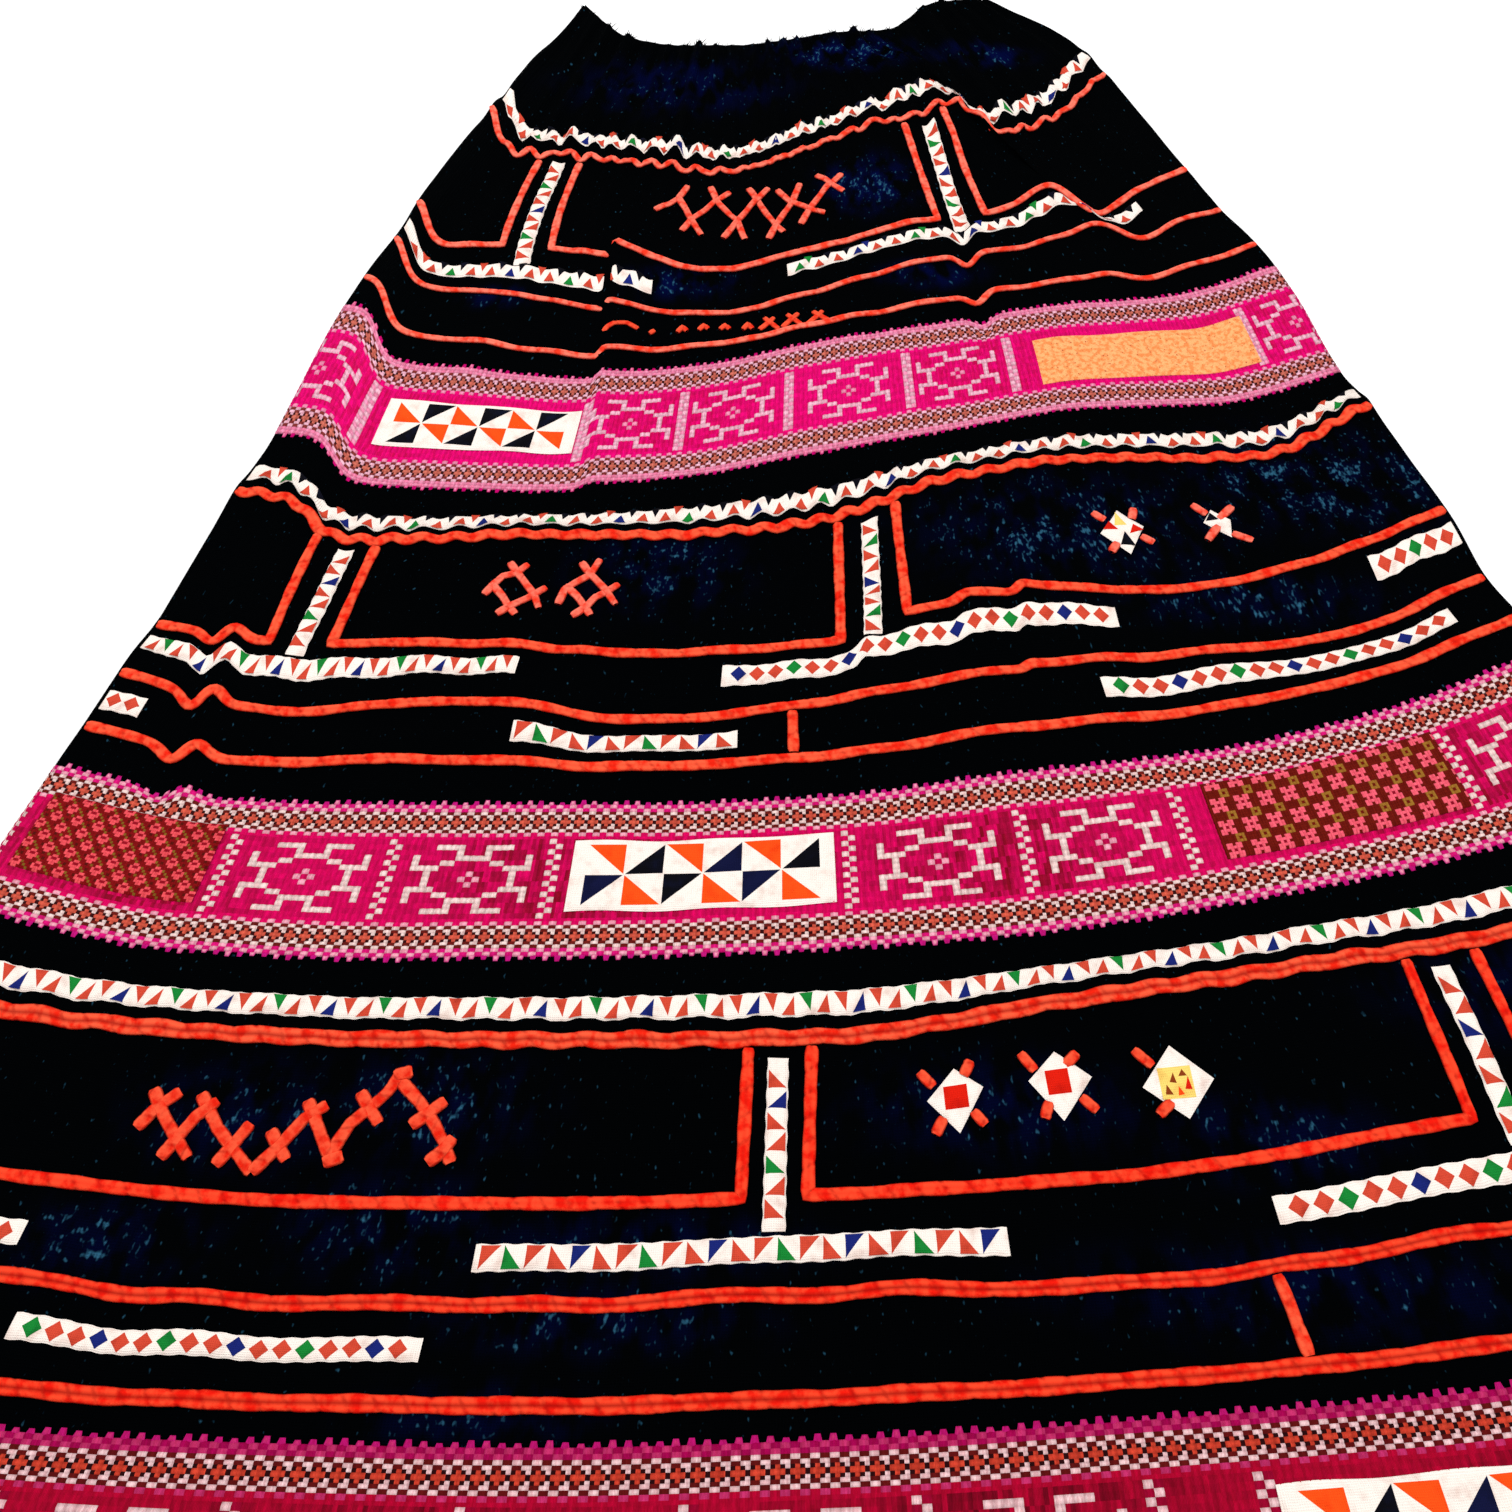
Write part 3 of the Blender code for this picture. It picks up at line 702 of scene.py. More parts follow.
@dataclass(frozen=True)
class StitchedThread(Finish):
    """Stranded silk and wool worked in close upright stitches.

    The eye gets small soft cushions of colour, streaked along the strands.
    """

    name: str = "stitched_thread"
    groove: str = "#b02848"
    # Real strands are about 0.4 mm wide, too fine to show, so they are drawn almost thrice
    # as wide
    strand: float = 1.1
    streak: float = 1.1111
    roughness: float = 0.7
    gloss: float = 0.05
    relief: float = 0.3

    def pattern(self, tree: Tree, uv: Node) -> tuple[Node, Node]:
        """Darkens each stitch's own colour along its strands.

        Args:
            tree: The material's tree.
            uv: The cloth map, in metres on the flat piece.

        Returns:
            Its colour and the height of its strands.
        """
        # The stitches' colours, with the painted shade that the bands and the blossom patches work
        # into them
        own = add_node(tree, "Attribute", {}, attribute_name="thread")
        long = add_node(tree, "Mapping", {0: uv, "Scale": (1.0, 0.25, 1.0)})
        strands = add_node(tree, "TexNoise", {"Vector": long, "Scale": 1 / (self.streak * MM),
                                              "Detail": 2.0})
        dark = add_node(tree, "MapRange", {0: strands, 1: 0.40, 2: 0.60, 4: 0.30})
        tone = add_node(tree, "Mix", {0: dark, 6: own, 7: self.groove}, blend_type="MULTIPLY")
        wave = add_node(tree, "TexWave", {"Vector": uv, "Distortion": 1.5,
                                          "Scale": WAVE_REPEAT / (self.strand * MM)},
                        bands_direction="X")
        return tone, wave


@dataclass(frozen=True)
class WoolCord(Finish):
    """Soft two-strand wool cord, sewn down flat.

    The eye gets warm red, painted highlights on its nap and painted deep red shade in its grooves.
    """

    name: str
    lit: str
    warm: str
    deep: str
    tuft: float = 5.8824
    # Real fibres are about 0.03 mm thick, too fine to show, so they are drawn as small tufts
    fibre: float = 0.9091
    roughness: float = 0.78
    relief: float = 0.4

    def pattern(self, tree: Tree, uv: Node) -> tuple[Node, Node]:
        """Draws the nap with its painted highlights, and the painted shade of the cord's own
        attribute.

        Args:
            tree: The material's tree.
            uv: The cloth map, in metres along and round the cord.

        Returns:
            Its colour and the height of its fibres.
        """
        # The cord's own attribute holds only painted shade, from dark on its sides and underside
        # to full on its top
        own = add_node(tree, "Attribute", {}, attribute_name="thread").outputs["Fac"]
        tufts = add_node(tree, "TexNoise", {"Vector": uv, "Scale": 1 / (self.tuft * MM),
                                            "Detail": 5.0})
        nap = add_node(tree, "MapRange", {0: tufts, 1: 0.40, 2: 0.64})
        # Painted light: the nap noise picks out the lit colour as painted highlights, and the
        # attribute mixes in the deep colour as painted shade
        painted_sheen = add_node(tree, "Mix", {0: nap, 6: self.lit, 7: self.warm})
        colour = add_node(tree, "Mix", {0: own, 6: self.deep, 7: painted_sheen})
        fibres = add_node(tree, "TexNoise", {"Vector": uv, "Scale": 1 / (self.fibre * MM),
                                             "Detail": 3.0})
        return colour, fibres


@dataclass(frozen=True)
class WovenCotton(Finish):
    """Plain-woven cotton in one dyed colour, soft from long use.

    The eye gets an even flat colour with a fine weave and faint soiling.
    """

    name: str
    colour: str
    soil: str
    # Real threads lie about 0.4 mm apart, too fine to show, so they are drawn twice as coarse
    thread: float = 0.9
    stain: float = 7.6923

    def pattern(self, tree: Tree, uv: Node) -> tuple[Node, Node]:
        """Draws the dye and its soiling.

        Args:
            tree: The material's tree.
            uv: The cloth map, in metres on the flat piece.

        Returns:
            Its colour and the height of its weave.
        """
        stains = add_node(tree, "TexNoise", {"Vector": uv, "Scale": 1 / (self.stain * MM),
                                             "Detail": 5.0})
        soiled = add_node(tree, "MapRange", {0: stains, 1: 0.45, 2: 0.85, 4: 0.7})
        colour = add_node(tree, "Mix", {0: soiled, 6: self.colour, 7: self.soil})
        return colour, woven(tree, uv, self.thread)


@dataclass(frozen=True)
class SpeckledCotton(Finish):
    """Printed orange cotton.

    The eye gets a soft ground with irregular darker specks.
    """

    name: str = "speckled_cotton"
    ground: str = "#ffb070"
    warm: str = "#f28a48"
    speck: str = "#b0502a"
    # The weave is drawn twice as coarse as it is, as on the plain cottons
    thread: float = 0.9
    cloud: float = 3.0303
    dot: float = 1.9231
    roughness: float = 0.78
    gloss: float = 0.2

    def pattern(self, tree: Tree, uv: Node) -> tuple[Node, Node]:
        """Draws the clouded ground and the specks on it.

        Args:
            tree: The material's tree.
            uv: The cloth map, in metres on the flat piece.

        Returns:
            Its colour and the height of its weave.
        """
        colour: str | Node = self.ground
        for size, detail, low, high, dye in ((self.cloud, 4.0, 0.42, 0.62, self.warm),
                                             (self.dot, 3.0, 0.60, 0.72, self.speck)):
            grains = add_node(tree, "TexNoise", {"Vector": uv, "Scale": 1 / (size * MM),
                                                 "Detail": detail})
            share = add_node(tree, "MapRange", {0: grains, 1: low, 2: high})
            colour = add_node(tree, "Mix", {0: share, 6: colour, 7: dye})
        return colour, woven(tree, uv, self.thread)


class Wool(Enum):
    """Wools of the cords: the colour of their painted nap highlight, of their body and of their
    painted shade.
    """

    CORAL = ("#ff7d66", "#f2381e", "#9c0400")
    RED = ("#fb5a38", "#e62008", "#880200")
    SCARLET = ("#fc4626", "#e61604", "#840200")


class Dye(Enum):
    """Cottons of the small pieced shapes: their colour and that of their soiling."""

    RED = ("#d24832", "#8c2014")
    GREEN = ("#168232", "#0b4a1e")
    NAVY = ("#182470", "#0a0f38")
    ORANGE = ("#ff5014", "#e03006")
    BLACK = ("#05050c", "#0d1230")
    YELLOW = ("#f9d670", "#d08a34")
    VERMILION = ("#dc1c0a", "#9a0804")
    MIDNIGHT = ("#0d1136", "#05071c")
    BROWN = ("#8a3a14", "#5a200c")


class Finishes:
    """Every finish of the skirt, made once."""

    def __init__(self) -> None:
        """Builds the materials."""
        self.indigo = IndigoHemp().make()
        self.thread = StitchedThread().make()
        self.wool = {wool: WoolCord(f"{wool.name.lower()}_wool", *wool.value).make()
                     for wool in Wool}
        self.cream = WovenCotton("cream_cotton", "#faeee4", "#cfa89a").make()
        self.small = [WovenCotton(f"{dye.name.lower()}_cotton", *dye.value).make()
                      for dye in Dye]
        self.speckled = SpeckledCotton().make()


# Mesh helpers


def read_rows(items: bpy.types.bpy_prop_collection, what: str) -> Array:
    """Reads a property of three numbers from every item of a mesh.

    Args:
        items: The mesh's points or faces.
        what: The property's name.

    Returns:
        One row for each item.
    """
    values = np.empty(3 * len(items), np.float32)
    items.foreach_get(what, values)
    return values.reshape(-1, 3).astype(float)


def write_points(data: Mesh, points: Array) -> None:
    """Moves a mesh's points."""
    data.vertices.foreach_set("co", points.astype(np.float32).ravel())
    data.update()


def corner_index(data: Mesh) -> Array:
    """Finds which point each face corner stands on.

    Args:
        data: The mesh.

    Returns:
        The points' numbers.
    """
    index = np.empty(len(data.loops), np.int32)
    data.loops.foreach_get("vertex_index", index)
    return index


def closed(mesh: bmesh.types.BMesh, name: str) -> Mesh:
    """Ends the work on a mesh.

    Args:
        mesh: The mesh that was worked on.
        name: Its name.

    Returns:
        The finished mesh.
    """
    data = bpy.data.meshes.new(name)
    mesh.to_mesh(data)
    mesh.free()
    return data


def unit_grid(name: str, columns: int, rows: int) -> tuple[Mesh, Array, Array]:
    """Makes a flat grid.

    Args:
        name: The mesh's name.
        columns: Cells across.
        rows: Cells up.

    Returns:
        The mesh, and for each corner its share across and up, from 0 to 1.
    """
    grid = bmesh.new()
    bmesh.ops.create_grid(grid, x_segments=columns, y_segments=rows, size=0.5)
    data = closed(grid, name)
    corners = read_rows(data.vertices, "co") + 0.5
    return data, corners[:, 0], corners[:, 1]


def odd(share: Array, cells: int) -> Array:
    """One on the odd lines of a grid and zero on its even ones."""
    return np.round(share * cells) % 2


def turned_edge(u: Array, v: Array, length: float, height: float, reach: float) -> Array:
    """Follows the round rise of a piece's turned edge.

    Args:
        u: Distances from the piece's left end.
        v: Distances from its middle line.
        length: The piece's length.
        height: The piece's height.
        reach: Width of the rise.

    Returns:
        Zero at the edge and one inside it.
    """
    edge = np.minimum(0.5 * height - np.abs(v), np.minimum(u, length - u))
    return np.sqrt(np.clip(edge / reach, 0.0, 1.0))


def lay_uv(data: Mesh, across: Array, up: Array) -> None:
    """Gives each point its place on the flat cloth as the cloth map.

    Args:
        data: The mesh.
        across: Distances along the flat cloth.
        up: Distances up it.
    """
    layer = data.uv_layers.new(name="cloth")
    flat = (np.stack([across, up], axis=1) * MM)[corner_index(data)]
    layer.data.foreach_set("uv", flat.astype(np.float32).ravel())


def paint(data: Mesh, colours: Array) -> None:
    """Gives each face corner its thread's colour, with the painted shade that callers work in.

    Args:
        data: The mesh.
        colours: Linear red, green and blue, one row for each face corner.
    """
    layer = data.color_attributes.new(name="thread", type="FLOAT_COLOR", domain="CORNER")
    opaque = np.column_stack([colours, np.ones(len(colours))])
    layer.data.foreach_set("color", opaque.astype(np.float32).ravel())


def finish_piece(
    data: Mesh,
    materials: Sequence[Material],
    replaces: Sequence[str] = (),
    weld: float = 0.0,
) -> Piece:
    """Makes a mesh a piece of the skirt.

    Args:
        data: The finished mesh.
        materials: Its materials, in the order its faces number them.
        replaces: The solids it stands for.
        weld: Distance in metres within which its points are joined.

    Returns:
        The piece.
    """
    if weld:
        mesh = bmesh.new()
        mesh.from_mesh(data)
        bmesh.ops.remove_doubles(mesh, verts=mesh.verts[:], dist=weld)
        mesh.to_mesh(data)
        mesh.free()
    for material in materials:
        data.materials.append(material)
    data.shade_smooth()
    piece = bpy.data.objects.new(data.name, data)
    bpy.context.scene.collection.objects.link(piece)
    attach(piece, "root")
    if replaces:
        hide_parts(*replaces)
    log.info("%s: %d faces", piece.name, len(data.polygons))
    return piece


@dataclass(frozen=True)
class Outline:
    """A small flat shape: its corners in millimetres, its dye and how far it stands up."""

    corners: tuple[Pair, ...]
    dye: Dye
    above: float = 0.0


@dataclass
class LetInShapes:
    """Small shapes of cotton with turned edges, laid on a piece.

    Their edges lie a given height above the piece, and their middles a given rise above that.
    """

    name: str
    shapes: Sequence[Outline]
    place: Place
    slot: str
    lift: float
    rise: float
    inset: float = 0.3

    def build(self, finishes: Finishes) -> Piece:
        """Builds all the shapes as one piece.

        Args:
            finishes: The skirt's finishes.

        Returns:
            The piece.
        """
        mesh = bmesh.new()
        dyes = list(Dye)
        for shape in self.shapes:
            above = self.lift + shape.above
            face = mesh.faces.new([mesh.verts.new((u, v, above)) for u, v in shape.corners])
            face.material_index = dyes.index(shape.dye)
        bmesh.ops.recalc_face_normals(mesh, faces=mesh.faces[:])
        for face in mesh.faces[:]:
            face.normal_update()
            if face.normal.z < 0.0:
                face.normal_flip()
        bmesh.ops.inset_individual(mesh, faces=mesh.faces[:], thickness=self.inset,
                                   depth=self.rise, use_even_offset=True)
        bmesh.ops.triangulate(mesh, faces=mesh.faces[:])
        bmesh.ops.subdivide_edges(mesh, edges=mesh.edges[:], cuts=1, use_grid_fill=True)
        data = closed(mesh, self.name)
        u, v, above = read_rows(data.vertices, "co").T
        write_points(data, self.place(u, v, above))
        lay_uv(data, u, v)
        return finish_piece(data, finishes.small)


# The tube


@dataclass
class Ring:
    """Columns round the flat tube: the front, a rolled edge, the back and a rolled edge."""

    form: SkirtForm
    front: int
    back: int
    edge: int = 4
    edge_length: float = 6.0
    back_rise: float = 0.0
    back_rise_from: float = 975.0
    back_rise_over: float = 45.0
    back_height: float = 0.35

    def __post_init__(self) -> None:
        """Works out after how many columns each of its four parts ends."""
        right = self.front + self.edge
        self.columns = right + self.back + self.edge
        self.ends = [0, self.front, right, right + self.back, self.columns]

    def points(self, share: Array, at: Array, lift: Array | float = 0.0) -> Array:
        """Lays out points of the tube's outer face.

        Args:
            share: Share of the way round, by columns, from the front's left end.
            at: Heights up the skirt.
            lift: Height above the front, a part of which also thickens the back.

        Returns:
            Points in metres from the origin.
        """
        column = share * self.columns
        _, front, right, left, _ = self.ends
        ends = self.form.outline(at)
        half = 0.5 * (ends[1] - ends[0])
        reach = 1.0 - EDGE_ROUND / half
        across = np.interp(column, self.ends, [-1.0, 1.0, 1.0, -1.0, -1.0])
        on_left = column > left
        on_edge = (column > front) & (column < right) | on_left
        turn = (column - np.where(on_left, left, front)) / self.edge
        turn = math.pi * np.where(on_edge, turn, 0.0)
        side = np.where(on_left, -1.0, 1.0)
        rolled = side * (reach + EDGE_ROUND / half * np.sin(turn))
        points = self.form.front(np.where(on_edge, rolled, np.clip(across, -reach, reach)), at)
        top = points[:, 2] + lift
        rising = 0.5 * (1.0 + side * np.cos(turn))
        on_back = (column >= right) & (column <= left)
        above = np.clip((at - self.back_rise_from) / self.back_rise_over, 0.0, 1.0) ** 2
        points[on_back, 1] += (self.back_rise * above)[on_back]
        low = self.back_height - 0.3 * np.asarray(lift) + 0.55 * self.back_rise * above * on_back
        points[:, 2] = np.where(on_back, low, np.where(on_edge, low + (top - low) * rising, top))
        return self.form.placed(points)

    def cloth_map(self, share: Array, half: float) -> Array:
        """Measures how far round the tube each column lies.

        Args:
            share: Share of the way round, by columns.
            half: Half of the tube's flat width.

        Returns:
            Distances from the front's left end.
        """
        sides = 2 * half + self.edge_length
        lengths = [0.0, 2 * half, sides, sides + 2 * half, 2 * sides]
        return np.interp(share * self.columns, self.ends, lengths)


@dataclass
class PlainTier:
    """One ring of plain indigo cloth, its cut edges turned in."""

    form: SkirtForm
    name: str
    foot: float
    top: float
    cut_height: float
    column: float = 3.0
    back_rise: float = 0.0
    turned_in: float = 0.9
    lowest: float = 0.2

    def build(self, finishes: Finishes) -> Piece:
        """Builds the ring.

        Args:
            finishes: The skirt's finishes.

        Returns:
            The piece.
        """
        half = self.form.half_width(0.5 * (self.foot + self.top))
        front = round(2 * half / self.column)
        back = front // 2 if self.back_rise else max(24, front // 5)
        ring = Ring(self.form, front, back, back_rise=self.back_rise)
        rows = round((self.top - self.foot) / self.column) + 2
        data, share, up = unit_grid(self.name, ring.columns, rows)
        row = np.round(up * rows)
        at = self.foot + (self.top - self.foot) * np.clip((row - 1) / (rows - 2), 0.0, 1.0)
        points = ring.points(share, at)
        points[(row == 0) | (row == rows), 2] -= self.turned_in * MM
        points[:, 2] = np.maximum(points[:, 2], self.lowest * MM)
        write_points(data, points)
        lay_uv(data, ring.cloth_map(share, half), at)
        # Strength of the painted glints and the painted blue sheen at each point
        layer = data.attributes.new("painted_sheen", "FLOAT_VECTOR", "POINT")
        layer.data.foreach_set("vector", self.form.painted_sheen_at(points).astype(np.float32).ravel())
        piece = finish_piece(data, [finishes.indigo], [self.name], weld=WELD)
        return piece


# Marks of a band's threads in the charts: the ground and its streaks, light and blush, the
# border's edge, buds, gaps and dark, the fill beside the dividers, and the teeth
THREAD_MARKS = "gdwpmcbkft"
FIRST_THREADS = dict(zip(THREAD_MARKS, (
    "#f6007c", "#d80058", "#ffc4d8", "#ff9cc0", "#ff8ab2", "#dc7462", "#8a3430", "#40100f",
    "#ff9cc0", "#c8006e")))
SECOND_THREADS = dict(zip(THREAD_MARKS, (
    "#e60062", "#8e0420", "#ffe2dc", "#ffb0c4", "#e2127c", "#e4604a", "#6e1a14", "#38080c",
    "#d80058", "#c2127c")))
THIRD_THREADS = dict(zip(THREAD_MARKS, (
    "#b80030", "#6c0018", "#fbd2d4", "#c8306c", "#a80050", "#dc4630", "#641010", "#2c060a",
    "#a00030", "#b8106c")))

# One quarter of the star, from its middle row up and from its middle column out: a ring with
# eight corners, a hook on each corner, and a small checkered middle.
STAR_QUARTER = (
    ".w....#..",
    "w.....#..",
    ".....####",
    "...##...#",
    "###.....#",
    "..#......",
    "..####...",
)


def star_chart() -> dict[tuple[int, int], str]:
    """Lays four quarters of the star together.

    Returns:
        The thread of each stitch, by column and row from the star's middle.
    """
    chart: dict[tuple[int, int], str] = {}
    for row, line in enumerate(STAR_QUARTER):
        for column, mark in enumerate(line):
            if mark != ".":
                for x in {column, -column}:
                    for y in {row, -row}:
                        chart[(x, y)] = "w" if mark == "#" else "p"
    return chart


# Rows of the border from its outer edge in: a height, and the marks of four half stitches
BORDER = (
    (2.3, "mmpp"), (2.0, "ppmm"), (1.9, "wwbb"), (1.7, "bbww"), (1.5, "kckw"), (2.2, "ccck"),
    (1.5, "kckw"), (1.7, "bbww"), (1.9, "wwbb"), (2.2, "ggpp"), (1.6, "gggg"),
)
CELL_ROWS = 15
CELL_ROW_HEIGHT = 3.0
CELL_STITCHES = 22.5

# Stitches between two dividers that hold a star, and what it keeps clear of a patch
STAR_CELL = (18, 28)
STAR_CLEAR = 2


@dataclass
class StitchedBand:
    """A ring of dense stitching between two plain tiers, worked from a chart.

    The dividers and the ends of the patches that cover its stars are distances from the axis.
    """

    form: SkirtForm
    name: str
    foot: float
    top: float
    block: float
    dividers: tuple[float, ...]
    covered: tuple[Pair, ...]
    threads: dict[str, str]
    seam: float = 3.0
    turned_in: float = 1.2
    lowest: float = 0.1
    tooth_pitch: float = 1.6
    tooth_half: float = 0.48
    tooth_root: float = 0.6
    tooth_height: float = 2.0
    tooth_foot: float = 0.35
    tooth_crown: float = 1.3

    def __post_init__(self) -> None:
        """Works out the stitches across the front, and the edges of the rows up the band."""
        self.half = self.form.half_width(0.5 * (self.foot + self.top))
        self.blocks = 2 * round(self.half / self.block)
        border = [height for height, _ in BORDER]
        edges = np.cumsum([0.0, *border, *[CELL_ROW_HEIGHT] * CELL_ROWS, *reversed(border)])
        self.row_edges = self.foot + (self.top - self.foot) * edges / edges[-1]
        self.rows = len(edges) - 1
        self.lines = 2 * self.rows + 2
        self.tones = {mark: np.array(linear(code)[:3])
                      for mark, code in self.threads.items()}

    def block_at(self, x: float) -> float:
        """Stitches from the front's left end to a distance from the axis."""
        across = self.form.across_of(x, 0.5 * (self.foot + self.top))
        return 0.5 * (across + 1.0) * self.blocks

    def chart(self) -> Array:
        """Works every stitch.

        Returns:
            Linear colours all the way round, by row and column, two columns to a stitch.
        """
        columns = np.arange(4 * self.blocks)
        picture = np.zeros((self.rows, len(columns), 3))
        streaks = np.random.default_rng(5).uniform(0.0, 1.0, (self.rows, len(columns)))
        for row in range(self.rows):
            depth = min(row, self.rows - 1 - row)
            if depth < len(BORDER):
                marks = np.array([self.tones[mark] for mark in BORDER[depth][1]])
                picture[row] = marks[columns % 4]
            else:
                slow = 0.5 + 0.5 * np.sin(0.05 * columns + 0.3 * np.sin(0.4 * row))
                share = ((0.25 + 0.75 * slow) * streaks[row // 2])[:, None]
                picture[row] = (1.0 - share) * self.tones["g"] + share * self.tones["d"]
        self.work_cells(picture)
        return picture

    def stitch(self, picture: Array, column: int, row: int, mark: str) -> None:
        """Works one stitch of a cell.

        Args:
            picture: Colours of the band's stitches, which this changes.
            column: Its column round the tube, in whole stitches.
            row: Its row, from the lowest of the cell.
            mark: Its thread.
        """
        first = 2 * (column % (2 * self.blocks))
        picture[len(BORDER) + row, first:first + 2] = self.tones[mark]

    def work_cells(self, picture: Array) -> None:
        """Works the dividers, and a star in each cell that is wide enough.

        Args:
            picture: Colours of the band's stitches, which this changes.
        """
        lines = [round(self.block_at(x)) for x in self.dividers]
        gap = 2 * self.blocks + lines[0] - lines[-1]
        cells = max(1, round(gap / CELL_STITCHES))
        edges = lines + [lines[-1] + round(gap * i / cells) for i in range(1, cells)]
        for line in edges:
            for row in range(CELL_ROWS):
                self.stitch(picture, line - 1 + row % 2, row, "w")
                self.stitch(picture, line - row % 2, row, "f")
        covered = [(self.block_at(low), self.block_at(high)) for low, high in self.covered]
        for low, high in zip([edges[-1] - 2 * self.blocks, *edges], edges):
            centre = (low + high - 1) // 2
            hidden = any(a - STAR_CLEAR < centre < b + STAR_CLEAR for a, b in covered)
            if hidden or not STAR_CELL[0] < high - low < STAR_CELL[1]:
                continue
            for (x, y), mark in star_chart().items():
                if low < centre + x < high - 1:
                    self.stitch(picture, centre + x, CELL_ROWS // 2 + y, mark)

    def build(self, finishes: Finishes) -> Piece:
        """Builds the ring, each stitch a small cushion on it.

        Args:
            finishes: The skirt's finishes.

        Returns:
            The piece.
        """
        ring = Ring(self.form, 2 * self.blocks, self.blocks)
        data, share, up = unit_grid(self.name, ring.columns, self.lines)
        line = np.round(up * self.lines)
        row = np.clip(line - 1, 0, 2 * self.rows)
        at = np.interp(row / 2.0, np.arange(self.rows + 1), self.row_edges)
        column = odd(share, ring.columns) * (np.round(share * ring.columns) < ring.front)
        cushion = np.where(column * (row % 2), 1.0, 0.55 * np.maximum(column, row % 2))
        points = ring.points(share, at, lift=0.25 + 0.75 * cushion)
        points[(line == 0) | (line == self.lines), 2] -= self.turned_in * MM
        points[:, 2] = np.maximum(points[:, 2], self.lowest * MM)
        self.colour_faces(data, ring)
        write_points(data, points)
        lay_uv(data, ring.cloth_map(share, self.half), at)
        piece = finish_piece(data, [finishes.thread], [self.name],
                             weld=WELD)
        return piece

    def colour_faces(self, data: Mesh, ring: Ring) -> None:
        """Paints the chart on the flat grid's faces, before it is bent to its form.

        Args:
            data: The flat grid.
            ring: Its columns.
        """
        middles = read_rows(data.polygons, "center") + 0.5
        column = np.floor(middles[:, 0] * ring.columns).astype(int)
        line = np.floor(middles[:, 1] * self.lines).astype(int)
        row = np.clip((line - 1) // 2, 0, self.rows - 1)
        on_front = column < ring.front
        on_back = 2 * self.blocks + 2 * (column - ring.front - ring.edge)
        stitch = np.clip(np.where(on_front, column, on_back), 0, 4 * self.blocks - 1)
        uneven = 0.92 + 0.08 * np.sin(12.9 * stitch + 78.2 * row)
        colours = np.repeat(self.chart()[row, stitch] * uneven[:, None], 4, axis=0)
        # Painted light: pale stitches get painted shade at their edges and corners and a painted
        # highlight on their crowns, the ground gets painted shade between its columns, and the
        # back one even middle shade
        place = read_rows(data.vertices, "co")[corner_index(data)] + 0.5
        crown, rib = odd(place[:, 0], ring.columns), 1.0 - odd(place[:, 1], self.lines)
        is_light = colours[:, 1] > 0.03
        shade = np.where(is_light, 0.56 + 0.26 * crown + 0.26 * rib, 0.80 + 0.24 * crown)
        shade = np.where(np.repeat(on_front, 4), shade, 0.86)
        paint(data, colours * shade[:, None])

    def build_teeth(self, finishes: Finishes) -> Piece:
        """Builds the single stitches that stand out of the band's two edges.

        Args:
            finishes: The skirt's finishes.

        Returns:
            The piece.
        """
        count = round(2.0 * self.half / (self.tooth_pitch * self.block))
        tip, body = linear(self.threads["p"]), linear(self.threads["t"])
        mesh = bmesh.new()
        layer = mesh.loops.layers.float_color.new("thread")
        for edge, way in ((self.top, 1.0), (self.foot, -1.0)):
            wide = self.tooth_half * self.block / self.form.half_width(edge)
            low = edge - self.tooth_root * way
            for number in range(1, count - 1):
                across = 2.0 * (number + 0.5) / count - 1.0
                high = edge + (self.tooth_height + 0.6 * math.sin(7.7 * number)) * way
                outer = [mesh.verts.new((a, t, self.tooth_foot)) for a, t in (
                    (across - wide, low), (across + wide, low),
                    (across + 0.6 * wide, high), (across - 0.6 * wide, high))]
                crown = mesh.verts.new((across, 0.4 * low + 0.6 * high, self.tooth_crown))
                for first, second in zip(outer, outer[1:] + outer[:1]):
                    for loop in mesh.faces.new((first, second, crown)).loops:
                        loop[layer] = tip if loop.vert is crown and number % 2 else body
        data = closed(mesh, self.name + "_teeth")
        across, at, lift = read_rows(data.vertices, "co").T
        write_points(data, self.form.on_front(across, at, lift))
        lay_uv(data, across * self.half, at)
        return finish_piece(data, [finishes.thread])


# Cords, strips and patches


@dataclass
class Run:
    """A straight run on the cloth, from one place and height to another."""

    form: SkirtForm
    start: Pair
    end: Pair

    def __post_init__(self) -> None:
        """Works out its way and its length, before the folds move it."""
        self.half = self.form.half_width(0.5 * (self.start[1] + self.end[1]))
        self.wide = self.end[0] - self.start[0]
        self.tall = self.end[1] - self.start[1]
        self.length = math.hypot(self.wide * self.half, self.tall)

    def place(self, along: Array, off: Array, lift: Array) -> Array:
        """Lays out points beside the run.

        Args:
            along: Distances along it.
            off: Distances to the left of its way.
            lift: Heights above the cloth.

        Returns:
            Points in metres from the origin.
        """
        share = np.asarray(along) / self.length
        across = self.start[0] + self.wide * share - self.tall / self.length * off / self.half
        at = self.start[1] + self.tall * share + self.wide * self.half / self.length * off
        return self.form.on_front(across, at, lift)


